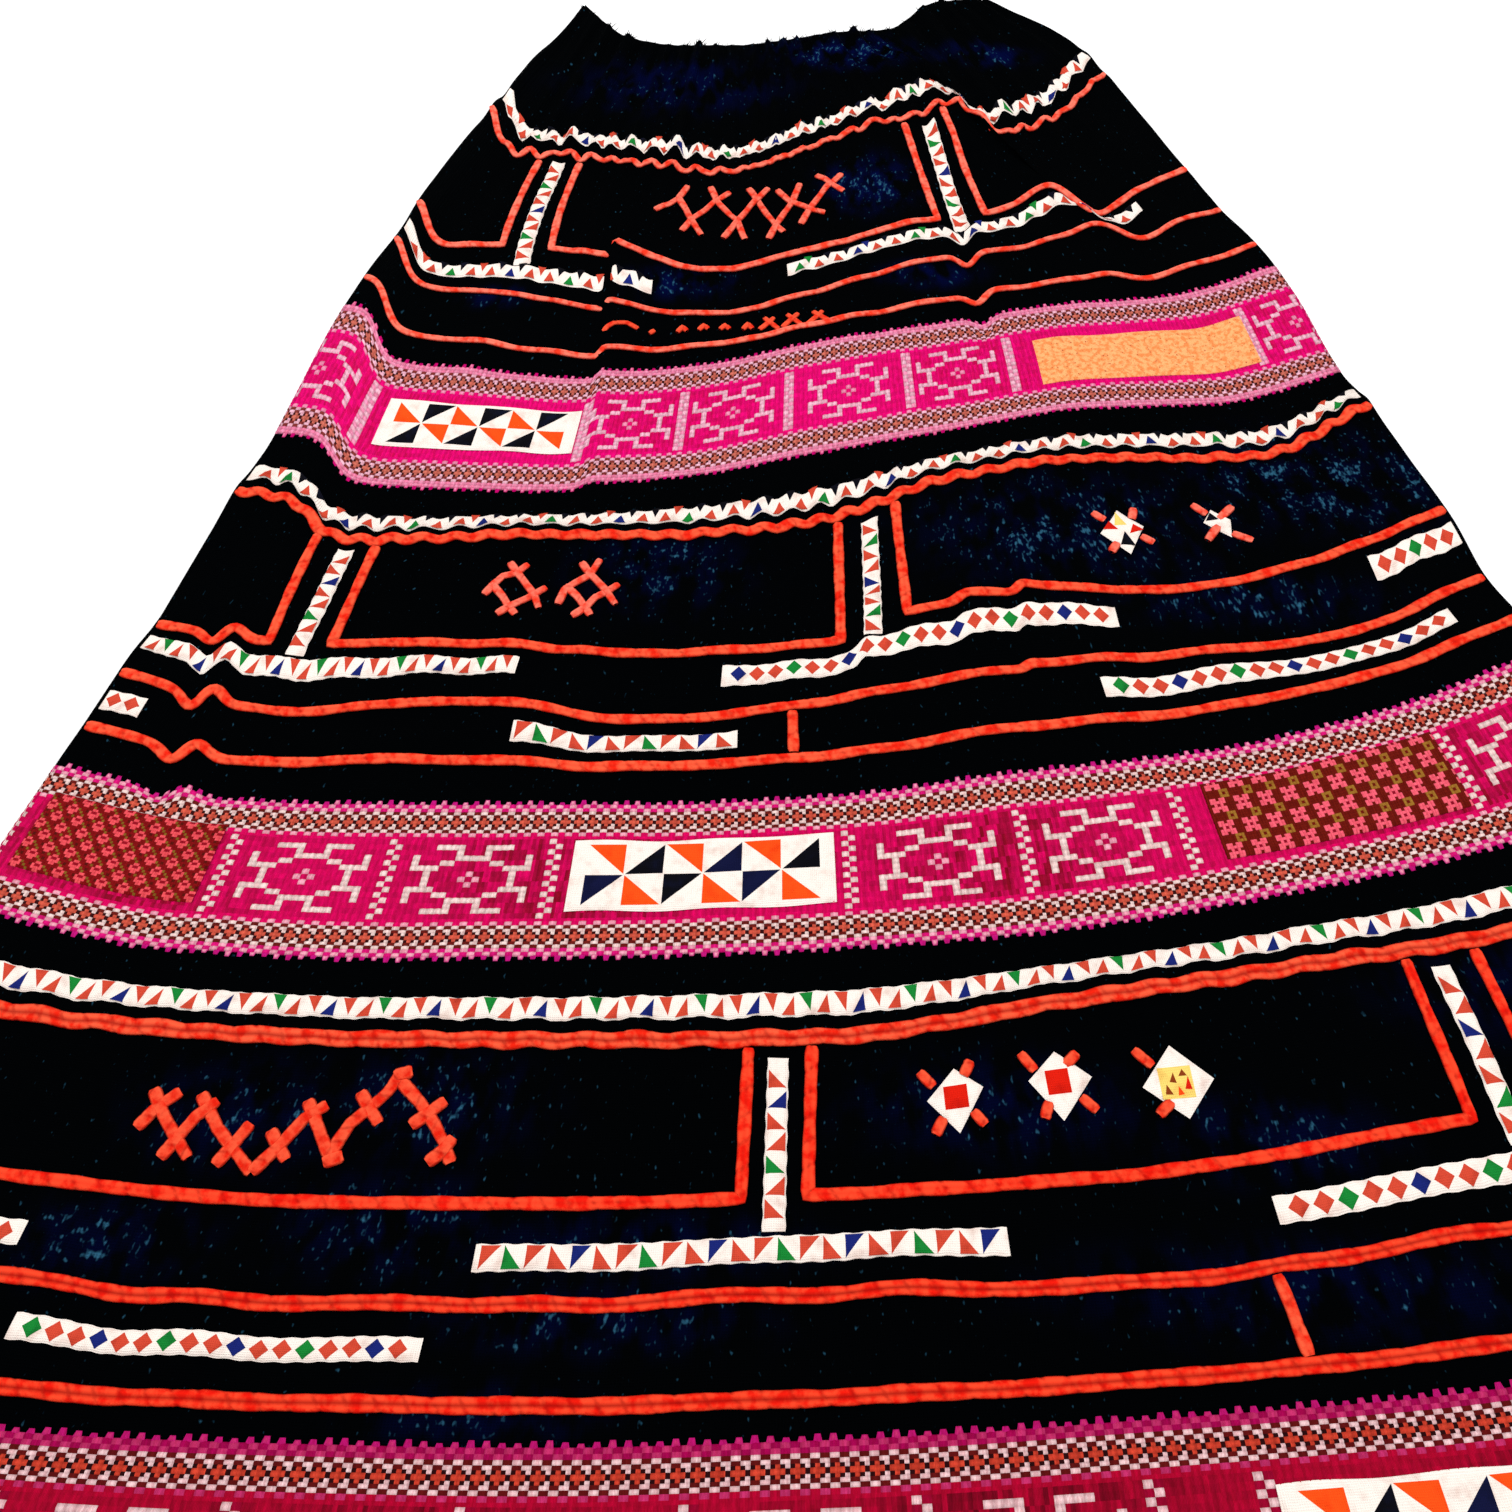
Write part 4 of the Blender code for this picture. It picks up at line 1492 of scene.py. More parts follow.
@dataclass
class SewnCord:
    """A wool cord laid along a path of places on the cloth, couched down every few stitches.

    Its ties are a given distance apart, and a double cord has a deep groove along its crown.
    """

    form: SkirtForm
    name: str
    path: tuple[Pair, ...]
    width: float = 5.6
    height: float = 2.4
    tie: float = 11.0
    double: bool = False
    step: float = 1.7
    around: int = 12
    sunk: float = 0.35
    girth: float = 2.4
    tie_slant: float = 0.30
    tie_width: float = 0.16
    tie_depth: float = 0.22
    groove: float = 0.75
    groove_width: float = 0.22

    def centre_line(self) -> tuple[Array, Array]:
        """Steps evenly along the path.

        Returns:
            Places across the skirt and heights up it.
        """
        across, at = [], []
        for (a0, t0), (a1, t1) in zip(self.path, self.path[1:]):
            half = self.form.half_width(0.5 * (t0 + t1))
            count = max(2, round(math.hypot((a1 - a0) * half, t1 - t0) / self.step))
            share = np.arange(count) / count
            across.append(a0 + (a1 - a0) * share)
            at.append(t0 + (t1 - t0) * share)
        last = self.path[-1]
        return np.concatenate([*across, [last[0]]]), np.concatenate([*at, [last[1]]])

    def mesh(self) -> Mesh:
        """Sweeps the cord's section along its path.

        Returns:
            The cord's mesh, in metres from the origin.
        """
        line = self.form.on_front(*self.centre_line(), 0.0) / MM
        way = np.gradient(line, axis=0)
        way /= np.linalg.norm(way, axis=1)[:, None]
        side = np.cross(np.array([0.0, 0.0, 1.0]), way)
        side /= np.linalg.norm(side, axis=1)[:, None]
        steps = np.linalg.norm(np.diff(line, axis=0), axis=1)
        lengths = np.concatenate([[0.0], np.cumsum(steps)])
        data, along, turn = unit_grid(self.name, len(line) - 1, self.around)
        index = np.round(along * (len(line) - 1)).astype(int)
        angle = TURN * turn
        run = lengths[index]
        taper = np.sqrt(np.clip(0.6 + np.minimum(run, lengths[-1] - run) / 2.0, 0.0, 1.0))
        slant = run + self.tie_slant * self.width * np.cos(angle)
        slant = slant + 2.0 * np.sin(run / 29.0)
        tie = np.exp(-((np.sin(math.pi * slant / self.tie) / self.tie_width) ** 2))
        wobble = 1.0 + 0.05 * np.sin(run / 3.1) + 0.05 * np.sin(run / 8.7 + 1.0)
        split = np.exp(-((np.cos(angle) / self.groove_width) ** 2)) * (np.sin(angle) > 0.0)
        split = split if self.double else 0.35 * split
        off = 0.5 * self.width * np.cos(angle) * taper * wobble * (1.0 - 0.07 * tie)
        flatter = 1.0 - self.tie_depth * tie
        up = 0.5 * self.height * (1.0 + np.sin(angle) * taper * flatter)
        points = line[index] + side[index] * off[:, None]
        depth = self.groove * split * (1.0 if self.double else 0.5)
        points[:, 2] += up - self.sunk - depth
        write_points(data, points * MM)
        lay_uv(data, run, turn * self.girth * self.width)
        # Painted shade: the cord is lighter on its top, darker down its sides and underneath, and
        # darker again at its ties and in its groove
        value = np.clip(0.30 + 0.86 * np.sin(angle), 0.05, 1.0)
        value *= (1.0 - 0.55 * tie) * (1.0 - 0.75 * split)
        paint(data, np.repeat(value[:, None], 3, axis=1)[corner_index(data)])
        return data

    def build(self, wool: Material) -> Piece:
        """Builds the cord in place of its solid."""
        return finish_piece(self.mesh(), [wool], [self.name], weld=CORD_WELD)


@dataclass
class BarMotif:
    """Short bars of wool sewn across each other, each through places in millimetres."""

    form: SkirtForm
    name: str
    bars: tuple[tuple[float, ...], ...]
    width: float
    height: float = 1.9
    over: float = 0.25

    def build(self, wool: Material) -> Piece:
        """Builds all the bars, every second and third higher than the one before.

        Args:
            wool: Their finish.

        Returns:
            The bars as one piece.
        """
        joined = bmesh.new()
        for number, bar in enumerate(self.bars):
            path = tuple(self.form.place_at(x, y) for x, y in zip(bar[::2], bar[1::2]))
            height = self.height + self.over * (number % 3)
            data = SewnCord(self.form, "bar", path, self.width, height, tie=7.0, step=1.2,
                            around=8).mesh()
            joined.from_mesh(data)
            bpy.data.meshes.remove(data)
        bmesh.ops.remove_doubles(joined, verts=joined.verts[:], dist=CORD_WELD)
        return finish_piece(closed(joined, self.name), [wool])


class Pattern(Enum):
    """How a strip is pieced."""

    TEETH = "coloured teeth that point down and up by turns"
    ZIGZAG = "a white zigzag between coloured triangles below and dark notches above"
    HALVES = "each square halved into two triangles"
    DIAMONDS = "a small diamond in each square"


@dataclass
class PiecedStrip:
    """A narrow strip of cream cotton with small coloured shapes let into it.

    Its ends are a place across the skirt and a height. Its colours start at one of the cycle,
    and its two edges waver where its sewing is tight.
    """

    form: SkirtForm
    name: str
    start: Pair
    end: Pair
    pattern: Pattern
    cell: float
    width: float = 11.0
    first: int = 0
    waver: float = 0.0
    margin: float = 0.7
    step: float = 2.2
    edge_lift: float = 0.15
    puff: float = 1.1
    edge_reach: float = 1.6
    turning: float = 2.0
    notch: Dye = Dye.BLACK
    cycle: tuple[Dye, ...] = (Dye.RED, Dye.RED, Dye.GREEN, Dye.RED, Dye.RED, Dye.NAVY)

    def __post_init__(self) -> None:
        """Works out the run along the strip's middle."""
        self.run = Run(self.form, self.start, self.end)

    def place(self, along: Array, off: Array, lift: Array) -> Array:
        """Lays out points on the wavering strip.

        Args:
            along: Distances along it.
            off: Distances from its middle line.
            lift: Heights above the cloth.

        Returns:
            Points in metres from the origin.
        """
        turn = TURN * np.asarray(along) / self.cell
        sway = self.waver * np.arcsin(0.94 * np.sin(turn + 1.3 * np.sin(turn / 7.0))) / 1.2
        return self.run.place(along, np.asarray(off) + sway, lift)

    def shapes(self) -> list[Outline]:
        """Cuts the coloured shapes.

        Returns:
            The shapes, in millimetres along and across the strip.
        """
        found: list[Outline] = []
        count = int((self.run.length - 1.0) // self.cell)
        start = 0.5 * (self.run.length - count * self.cell)
        for i in range(count):
            dye = self.cycle[(i + self.first) % len(self.cycle)]
            found += self.cell_shapes(start + i * self.cell, i, dye)
        return found

    def cell_shapes(self, u: float, i: int, dye: Dye) -> list[Outline]:
        """Cuts the shapes of one cell of the strip.

        Args:
            u: Where the cell starts along the strip.
            i: The cell's number.
            dye: The colour of its main shape.

        Returns:
            One or two shapes.
        """
        w = self.cell
        high = 0.5 * self.width - self.margin
        lean = 0.6 * math.sin(2.3 * i + 0.7)
        if self.pattern is Pattern.TEETH:
            if (i + self.first) % 2:
                return [Outline(((u + 0.06 * w, -high), (u + 0.80 * w, -high),
                                 (u + 0.74 * w + lean, 0.85 * high)), dye)]
            return [Outline(((u + 0.04 * w, high), (u + 0.66 * w + lean, -0.85 * high),
                             (u + 0.82 * w, high)), dye)]
        if self.pattern is Pattern.ZIGZAG:
            above = self.notch if i % 3 else dye
            edge = high + 1.3
            lower = ((u + 0.04 * w, -high), (u + 0.56 * w, -high),
                     (u + 0.30 * w + lean, 0.55 * high))
            upper = ((u + 0.58 * w, edge), (u + 0.78 * w + lean, -0.35 * high), (u + w, edge))
            return [Outline(lower, dye), Outline(upper, above)]
        if self.pattern is Pattern.HALVES:
            near, far = u + 0.3, u + 0.88 * w + 0.6 * lean
            if i % 2:
                return [Outline(((near, -high), (far, -high), (near + 0.4, high)), dye)]
            return [Outline(((near, -high), (far, high), (near, high)), dye)]
        middle, r = u + 0.5 * w, 0.45 * w
        tall = min(r, high - 0.2)
        tilt = 0.4 * lean
        return [Outline(((middle - r, tilt), (middle, -tall + tilt),
                         (middle + r, tilt), (middle, tall + tilt)), dye)]

    def build(self, finishes: Finishes) -> Piece:
        """Builds the strip and what is let into it.

        Args:
            finishes: The skirt's finishes.

        Returns:
            The strip.
        """
        length = self.run.length
        data, along, across = unit_grid(self.name, max(4, round(length / self.step)), 8)
        u = along * length
        v = (across - 0.5) * self.width
        rise = turned_edge(u, v, length, self.width, self.edge_reach)
        squeeze = 1.0 + 0.05 * np.sin(TURN * u / self.cell)
        write_points(data, self.place(u, v * squeeze, self.edge_lift + self.puff * rise))
        lay_uv(data, u, v)
        piece = finish_piece(data, [finishes.cream], [self.name])
        laid = LetInShapes(self.name + "_shapes", self.shapes(), self.place, "pieced_strip",
                           lift=1.15, rise=0.28).build(finishes)
        steps = np.linspace(0.0, length, 60)
        line = self.run.place(steps, 0.0 * steps, 0.0 * steps)
        laid_length = float(np.linalg.norm(np.diff(line, axis=0), axis=1).sum())
        return piece


@dataclass
class BandPatch:
    """A patch of cotton set on a band."""

    form: SkirtForm
    name: str
    start: float
    end: float
    foot: float
    top: float
    turning: float = 4.0
    step: float = 2.5
    edge_lift: float = 0.9
    puff: float = 0.95
    edge_reach: float = 2.0

    def __post_init__(self) -> None:
        """Works out the run along the patch's middle."""
        middle = 0.5 * (self.foot + self.top)
        self.run = Run(self.form, (self.start, middle), (self.end, middle))
        self.length = self.run.length
        self.height = self.top - self.foot

    def base(self, finish: Material, slot: str) -> Piece:
        """Builds the cloth of the patch, its edges turned under.

        Args:
            finish: The cloth's finish.
            slot: A material slot's name; not used.

        Returns:
            The piece.
        """
        data, along, across = unit_grid(self.name, round(self.length / self.step), 18)
        u = along * self.length
        v = (across - 0.5) * self.height
        rise = turned_edge(u, v, self.length, self.height, self.edge_reach)
        lift = self.edge_lift + self.puff * rise
        uneven = 0.5 * np.sin(u / 9.0) * (np.abs(v) > 0.45 * self.height)
        write_points(data, self.run.place(u, v + uneven, lift))
        lay_uv(data, u, v)
        return finish_piece(data, [finish], [self.name])

    def declare(self, piece: Piece, pieces: list[Piece]) -> None:
        """Does nothing.

        Args:
            piece: The patch; not used.
            pieces: What is sewn on it; not used.
        """


class Turn(Enum):
    """Which corner of its square a triangle fills."""

    TOP_RIGHT = ((0, 1), (1, 0), (1, 1))
    BOTTOM_RIGHT = ((0, 0), (1, 0), (1, 1))
    BOTTOM_LEFT = ((0, 0), (1, 0), (0, 1))
    TOP_LEFT = ((0, 0), (1, 1), (0, 1))


@dataclass
class PinwheelPatch:
    """Cream cotton pieced with triangles that turn about the corners of their squares."""

    patch: BandPatch
    top_row: tuple[tuple[Turn, Dye], ...]
    foot_row: tuple[tuple[Turn, Dye], ...]
    columns: int = 6
    margin: float = 7.0
    rim: float = 2.6

    def build(self, finishes: Finishes) -> None:
        """Builds the patch and its triangles.

        Args:
            finishes: The skirt's finishes.
        """
        base = self.patch.base(finishes.cream, "pinwheel_cotton")
        wide = (self.patch.length - 2 * self.margin) / self.columns
        high = 0.5 * self.patch.height - self.rim
        shapes = []
        for i in range(self.columns):
            for row, low in ((self.top_row, 0.1), (self.foot_row, -high - 0.1)):
                turn, dye = row[i % len(row)]
                corners = tuple((self.margin + (i + 0.01 + 0.98 * x) * wide, low + y * high)
                                for x, y in turn.value)
                shapes.append(Outline(corners, dye))
        laid = LetInShapes(self.patch.name + "_triangles", shapes, self.patch.run.place,
                           "pinwheel_cotton", lift=1.75, rise=0.3).build(finishes)
        self.patch.declare(base, [laid])


# Stitches of the blossoms, the eyelets between them and the ground, row by row
CLOSE_BLOSSOMS = (
    ".##...o.",
    "####.o..",
    "#ww#o..b",
    ".##.....",
    ".o...##.",
    "o.b.####",
    "....#ww#",
    ".b.o.##.",
)
CLOSE_THREADS = {"#": "#f2555e", "w": "#9c0c22", "o": "#86601e", "b": "#5a1008",
                 ".": "#860c10"}
OPEN_BLOSSOMS = (
    ".##.##..",
    ".#####..",
    "..#w#...",
    ".#####..",
    ".##.##..",
    ".....ooo",
    ".b...obo",
    ".....ooo",
)
OPEN_THREADS = {"#": "#fb6478", "w": "#8c0422", "o": "#a07028", "b": "#6e1408", ".": "#6e1408"}


@dataclass
class BlossomPatch:
    """Brown cotton covered with small stitched blossoms and olive eyelets."""

    patch: BandPatch
    chart: tuple[str, ...]
    threads: dict[str, str]
    pitch: float = 12.0
    puff: float = 0.8
    bead: float = 0.45

    def build(self, finishes: Finishes) -> None:
        """Builds the patch, a small raised stitch to each square of its chart.

        Args:
            finishes: The skirt's finishes.
        """
        length, height = self.patch.length, self.patch.height
        size = len(self.chart)
        columns = round(length / (self.pitch / size))
        rows = round(height / (self.pitch / size))
        data, along, across = unit_grid(self.patch.name, 2 * columns, 2 * rows)
        middles = read_rows(data.polygons, "center") + 0.5
        column = np.floor(middles[:, 0] * columns).astype(int)
        row = np.floor(middles[:, 1] * rows).astype(int)
        tones = np.array([[linear(self.threads[mark])[:3] for mark in line]
                          for line in self.chart])
        colours = np.repeat(tones[row % size, column % size], 4, axis=0)
        # Painted light: each stitch is painted lighter in its middle, a painted highlight, and
        # darker at its edges, a painted shade
        place = read_rows(data.vertices, "co")[corner_index(data)] + 0.5
        shade = 0.72 + 0.20 * (odd(place[:, 0], 2 * columns) + odd(place[:, 1], 2 * rows))
        paint(data, colours * shade[:, None])
        u = along * length
        v = (across - 0.5) * height
        bead = odd(along, 2 * columns) * odd(across, 2 * rows)
        rise = turned_edge(u, v, length, height, self.patch.edge_reach)
        lift = self.patch.edge_lift + self.puff * rise + self.bead * bead
        write_points(data, self.patch.run.place(u, v, lift))
        lay_uv(data, u, v)
        piece = finish_piece(data, [finishes.thread], [self.patch.name])
        self.patch.declare(piece, [])


@dataclass
class CornerPatch:
    """A small square of cream cotton set on its corner, with wool arms at its sides."""

    form: SkirtForm
    name: str
    across: float
    at: float
    corners: tuple[Pair, ...]
    inside: tuple[Outline, ...]
    arms: tuple[tuple[float, float, float, float], ...]
    wool: Wool
    arm_width: float = 4.7
    edge_lift: float = 0.3
    edge_share: float = 0.16
    turning: float = 2.0

    def place(self, along: Array, off: Array, lift: Array) -> Array:
        """Points round the patch's middle, in metres from the origin."""
        across = self.across + np.asarray(along) / self.form.half_width(self.at)
        return self.form.on_front(across, self.at + np.asarray(off), lift)

    def build(self, finishes: Finishes) -> None:
        """Builds the patch, what is let into it, and its arms.

        Args:
            finishes: The skirt's finishes.
        """
        data, s, t = unit_grid(self.name, 12, 12)
        weights = np.stack([(1 - s) * (1 - t), s * (1 - t), s * t, (1 - s) * t], axis=1)
        u, v = (weights @ np.array(self.corners, float)).T
        edge = 1.0 - 2.0 * np.maximum(np.abs(s - 0.5), np.abs(t - 0.5))
        lift = self.edge_lift + np.sqrt(np.clip(edge / self.edge_share, 0.0, 1.0))
        write_points(data, self.place(u, v, lift))
        lay_uv(data, u, v)
        base = finish_piece(data, [finishes.cream], [self.name])
        laid = LetInShapes(self.name + "_shapes", self.inside, self.place, "pinwheel_cotton",
                           lift=1.32, rise=0.25).build(finishes)
        x, y = self.place(np.zeros(1), np.zeros(1), np.zeros(1))[0, :2] / MM + self.form.middle[:2]
        bars = tuple((x + u0, y + v0, x + u1, y + v1) for u0, v0, u1, v1 in self.arms)
        arms = BarMotif(self.form, self.name + "_arms", bars, self.arm_width)
        arms.build(finishes.wool[self.wool])


@dataclass
class WaistFray:
    """Loose ends of warp that stand out of the waist's cut edge."""

    form: SkirtForm
    count: int = 1500
    root: float = 1018.5
    thick: float = 0.9

    def build(self, finishes: Finishes) -> Piece:
        """Builds the loose ends, each a thin three-sided spike.

        Args:
            finishes: The skirt's finishes.

        Returns:
            The loose ends as one piece.
        """
        mesh = bmesh.new()
        bmesh.ops.create_cone(mesh, segments=3, radius1=0.5, radius2=0.12, depth=1.0,
                              cap_ends=True)
        spike = np.array([v.co for v in mesh.verts])
        faces = [[v.index for v in f.verts] for f in mesh.faces]
        mesh.free()
        random = np.random.default_rng(11)
        across = np.sort(random.uniform(-0.995, 0.995, self.count))
        tall = random.uniform(1.5, 4.6, self.count) * random.choice([0.6, 1.0, 1.7], self.count)
        root = self.form.front(across, np.full(self.count, self.root))
        root[:, 2] -= random.uniform(0.2, 3.6, self.count)
        lean = random.normal(0.0, 0.42, self.count)
        rise = random.uniform(-0.15, 0.25, self.count)
        points, polygons = [], []
        for i in range(self.count):
            axis = np.array([math.sin(lean[i]), math.cos(lean[i]), rise[i]])
            along = (spike[:, 2] + 0.5)[:, None] * axis * tall[i]
            side = np.array([axis[1], -axis[0], 0.0])
            up = np.array([0.0, 0.0, self.thick])
            polygons += [[v + len(spike) * i for v in f] for f in faces]
            points.append(root[i] + along
                          + (spike[:, :1] * side * self.thick + spike[:, 1:2] * up))
        data = bpy.data.meshes.new("waist_fray")
        flat = np.concatenate(points)
        flat[:, 2] = np.maximum(flat[:, 2], 0.2)
        data.from_pydata(self.form.placed(flat).tolist(), [], polygons)
        lay_uv(data, flat[:, 0], flat[:, 1])
        return finish_piece(data, [finishes.indigo])


# The whole skirt

# Place across the skirt at which what runs its whole width ends
SIDE = 0.991

# The long cords: name, height up the skirt, width, wool and whether the cord is double
CORDS = (
    ("cord_1_top", 898, 4.6, Wool.CORAL, False), ("cord_1_upper", 760, 4.2, Wool.CORAL, False),
    ("cord_1_lower", 732, 4.4, Wool.CORAL, False), ("cord_2_top", 575, 6.6, Wool.RED, False),
    ("cord_2_upper", 455, 5.8, Wool.RED, False), ("cord_2_lower", 423, 6.0, Wool.RED, False),
    ("cord_3_top", 277, 7.9, Wool.RED, True), ("cord_3_upper", 169, 6.4, Wool.SCARLET, True),
    ("cord_3_lower", 130, 6.7, Wool.SCARLET, True),
)


@dataclass(frozen=True)
class Panel:
    """A cord frame round a panel: its wool and width, its top and foot, and its corners.

    A side that the skirt's edge cuts off has no upper corner.
    """

    name: str
    wool: Wool
    width: float
    top: float
    foot: float
    left_top: float | None
    left: float
    right: float
    right_top: float | None

    def path(self) -> tuple[Pair, ...]:
        """Follows the cord down, along and up again.

        Returns:
            The cord's corners, each a place across the skirt and a height.
        """
        corners = ((self.left_top, self.top), (self.left, self.foot),
                   (self.right, self.foot), (self.right_top, self.top))
        return tuple(corner for corner in corners if corner[0] is not None)


PANELS = (
    Panel("frame_1_left", Wool.CORAL, 5.0, 893.5, 799, None, -SIDE, -0.764, -0.812),
    Panel("frame_1_middle", Wool.CORAL, 5.0, 893.5, 799, -0.688, -0.642, 0.331, 0.319),
    Panel("frame_1_right", Wool.CORAL, 5.0, 893.5, 799, 0.445, 0.453, SIDE, None),
    Panel("frame_2_left", Wool.RED, 5.8, 570.5, 492, None, -SIDE, -0.819, -0.832),
    Panel("frame_2_middle", Wool.RED, 5.8, 570.5, 492, -0.733, -0.725, 0.031, 0.035),
    Panel("frame_2_right", Wool.RED, 5.8, 570.5, 492, 0.133, 0.133, SIDE, None),
    Panel("frame_3_left", Wool.SCARLET, 5.8, 272.5, 208, None, -SIDE, -0.094, -0.090),
    Panel("frame_3_middle", Wool.SCARLET, 5.8, 272.5, 208, -0.024, -0.031, 0.611, 0.618),
    Panel("frame_3_right", Wool.SCARLET, 5.8, 272.5, 208, 0.696, 0.690, SIDE, None),
)

# The pieced strips: name, two ends, pattern and cell, then width, first colour and waver
STRIPS = (
    ("triangle_strip_1", (-SIDE, 918), (SIDE, 918), Pattern.ZIGZAG, 10.6, 10.4, 0, 1.4),
    ("triangle_strip_2", (-SIDE, 592), (SIDE, 592), Pattern.ZIGZAG, 12.6, 12.8, 1, 0.8),
    ("triangle_strip_3", (-SIDE, 293), (SIDE, 293), Pattern.TEETH, 7.95, 11.5),
    ("foot_strip_1_left", (-SIDE, 777), (-0.380, 777), Pattern.ZIGZAG, 12.4, 10.4),
    ("foot_strip_1_right", (-0.055, 786), (0.832, 786), Pattern.ZIGZAG, 12.4, 10.4, 2),
    ("foot_strip_2_left", (-SIDE, 478), (-0.440, 478), Pattern.TEETH, 6.9, 11.0, 1),
    ("foot_strip_2_middle", (-0.142, 477), (0.443, 477), Pattern.DIAMONDS, 9.6, 11.4, 5),
    ("foot_strip_2_right", (0.845, 479), (SIDE, 479), Pattern.DIAMONDS, 9.6),
    ("short_strip_2_left", (-SIDE, 439), (-0.935, 439), Pattern.DIAMONDS, 9.4),
    ("short_strip_2_middle", (-0.422, 439), (-0.114, 439), Pattern.HALVES, 9.2, 11.0, 1),
    ("short_strip_2_right", (0.395, 440), (0.915, 440), Pattern.DIAMONDS, 10.2, 11.0, 2),
    ("foot_strip_3_left", (-SIDE, 186), (-0.746, 186), Pattern.DIAMONDS, 9.6, 10.2),
    ("foot_strip_3_middle", (-0.334, 187), (0.151, 187), Pattern.HALVES, 9.4, 10.6, 1),
    ("foot_strip_3_right", (0.400, 189), (0.885, 189), Pattern.DIAMONDS, 10.6, 10.2),
    ("short_strip_3_left", (-0.717, 151), (-0.363, 151), Pattern.DIAMONDS, 9.2, 9.8, 2),
    ("upright_strip_1_left", (-0.700, 783), (-0.745, 889), Pattern.HALVES, 9.0, 9.5),
    ("upright_strip_1_right", (0.385, 792), (0.392, 889), Pattern.HALVES, 9.0, 9.5),
    ("upright_strip_2_left", (-0.771, 485), (-0.779, 566), Pattern.HALVES, 9.0, 9.5),
    ("upright_strip_2_right", (0.080, 484), (0.088, 566), Pattern.HALVES, 8.8, 9.5, 1),
    ("upright_strip_3_left", (-0.063, 194), (-0.059, 268), Pattern.HALVES, 9.2, 9.5),
    ("upright_strip_3_right", (0.647, 196), (0.653, 268), Pattern.HALVES, 9.2, 9.5, 1),
)

FIRST_TOP = ((Turn.BOTTOM_LEFT, Dye.ORANGE), (Turn.TOP_LEFT, Dye.BLACK))
FIRST_FOOT = ((Turn.BOTTOM_RIGHT, Dye.BLACK), (Turn.TOP_RIGHT, Dye.ORANGE))
SECOND_TOP = ((Turn.TOP_RIGHT, Dye.ORANGE), (Turn.BOTTOM_RIGHT, Dye.BLACK),
              (Turn.TOP_RIGHT, Dye.ORANGE), (Turn.BOTTOM_RIGHT, Dye.MIDNIGHT))
SECOND_FOOT = ((Turn.TOP_LEFT, Dye.MIDNIGHT), (Turn.BOTTOM_LEFT, Dye.ORANGE),
               (Turn.TOP_LEFT, Dye.BLACK), (Turn.BOTTOM_LEFT, Dye.ORANGE))

# Wool bars on the panels: each goes through two places or more, across the skirt and up it
PANEL_ONE_BARS = (
    (-113, 838, -98, 849), (-98, 849, -92, 861), (-98, 850, -90, 831, -82, 814),
    (-95, 818, -89, 829, -73, 847, -64, 854), (-77, 861, -73, 847, -59, 826, -54, 809),
    (-68, 809, -59, 826, -47, 847, -39, 860), (-52, 858, -46, 847, -35, 825, -29, 817),
    (-39, 810, -34, 824, -23, 847, -18, 864), (-33, 857, -24, 846, -12, 839, -2, 835),
    (-18, 824, -11, 842, 1, 864, 10, 877), (-7, 873, 11, 859),
)
PANEL_TWO_BARS = (
    (-193, 524, -188, 532, -184, 537, -177, 539, -171, 545),
    (-181, 546, -177, 540, -166, 524, -163, 515), (-185, 511, -179, 516, -169, 522, -160, 529),
    (-190, 532, -183, 523, -179, 516, -175, 511),
    (-153, 518, -150, 528, -145, 532, -137, 537, -132, 548),
    (-142, 546, -137, 538, -128, 527, -122, 517), (-150, 531, -143, 523, -138, 515, -135, 510),
    (-145, 510, -138, 515, -133, 522, -128, 525, -121, 531),
)
PANEL_THREE_BARS = (
    (-314, 236, -307, 245, -298, 252), (-310, 253, -303, 241, -289, 223),
    (-301, 223, -289, 241, -281, 248), (-289, 251, -279, 236, -261, 217),
    (-277, 220, -270, 230, -265, 238), (-261, 217, -251, 228, -242, 240, -233, 246),
    (-256, 235, -247, 222), (-242, 248, -237, 239, -229, 224), (-231, 221, -223, 224),
    (-229, 224, -222, 238, -216, 244, -208, 252, -203, 260), (-220, 252, -210, 238),
    (-206, 259, -198, 261), (-203, 257, -193, 247, -186, 238, -181, 230, -177, 221),
    (-196, 237, -182, 248), (-187, 221, -181, 226, -177, 232),
)
BETWEEN_CORD_BARS = (
    (-141, 724, -134, 731, -126, 731, -119, 727), (-112, 724, -109, 727),
    (-95, 724, -92, 728, -89, 724), (-82, 724, -79, 728, -76, 725), (-69, 725, -66, 729, -63, 726),
    (-55, 726, -52, 731, -49, 727), (-45, 727, -36, 737), (-42, 737, -33, 727),
    (-31, 728, -21, 740), (-28, 739, -18, 730), (-16, 731, -6, 744), (-12, 743, -2, 735),
)

# Small patches on the panels: corners from the lowest round, what is let into them, and the
# two ends of each arm
STAR_CORNERS = ((0.2, -14), (12.5, 2.7), (0.6, 13.6), (-13, -2))
STAR_SHAPES = (
    Outline(((-4, 3), (3, 3.4), (-1.2, 12)), Dye.YELLOW),
    Outline(((-4, -9), (4, -9.6), (0.5, -1)), Dye.BLACK),
    Outline(((-11, 0.2), (-2.6, 0.2), (-6.4, 6)), Dye.VERMILION),
    Outline(((3, -2.4), (11.4, 0), (6.6, 4)), Dye.VERMILION),
)
STAR_ARMS = ((-15.5, 12.5, -9, 7.5), (6, 8, 8, 16), (-4.5, -9, -8.5, -15.5), (9.5, -4, 16, -8.5))
BOW_CORNERS = ((4.4, -11), (8, 1), (-0.4, 9), (-8, 0))
BOW_SHAPES = (Outline(((-6.6, 0.4), (1.2, 1.4), (-2.2, 6.4)), Dye.BLACK),)
BOW_ARMS = ((-12.5, 12, -5, 5.5), (10, 11, 1, 2), (0, -3, -8, -14), (7, -8, 17, -14))
FIRST_CORNERS = ((0, -14.6), (12.5, 2.6), (0.6, 12.2), (-12.7, 0))
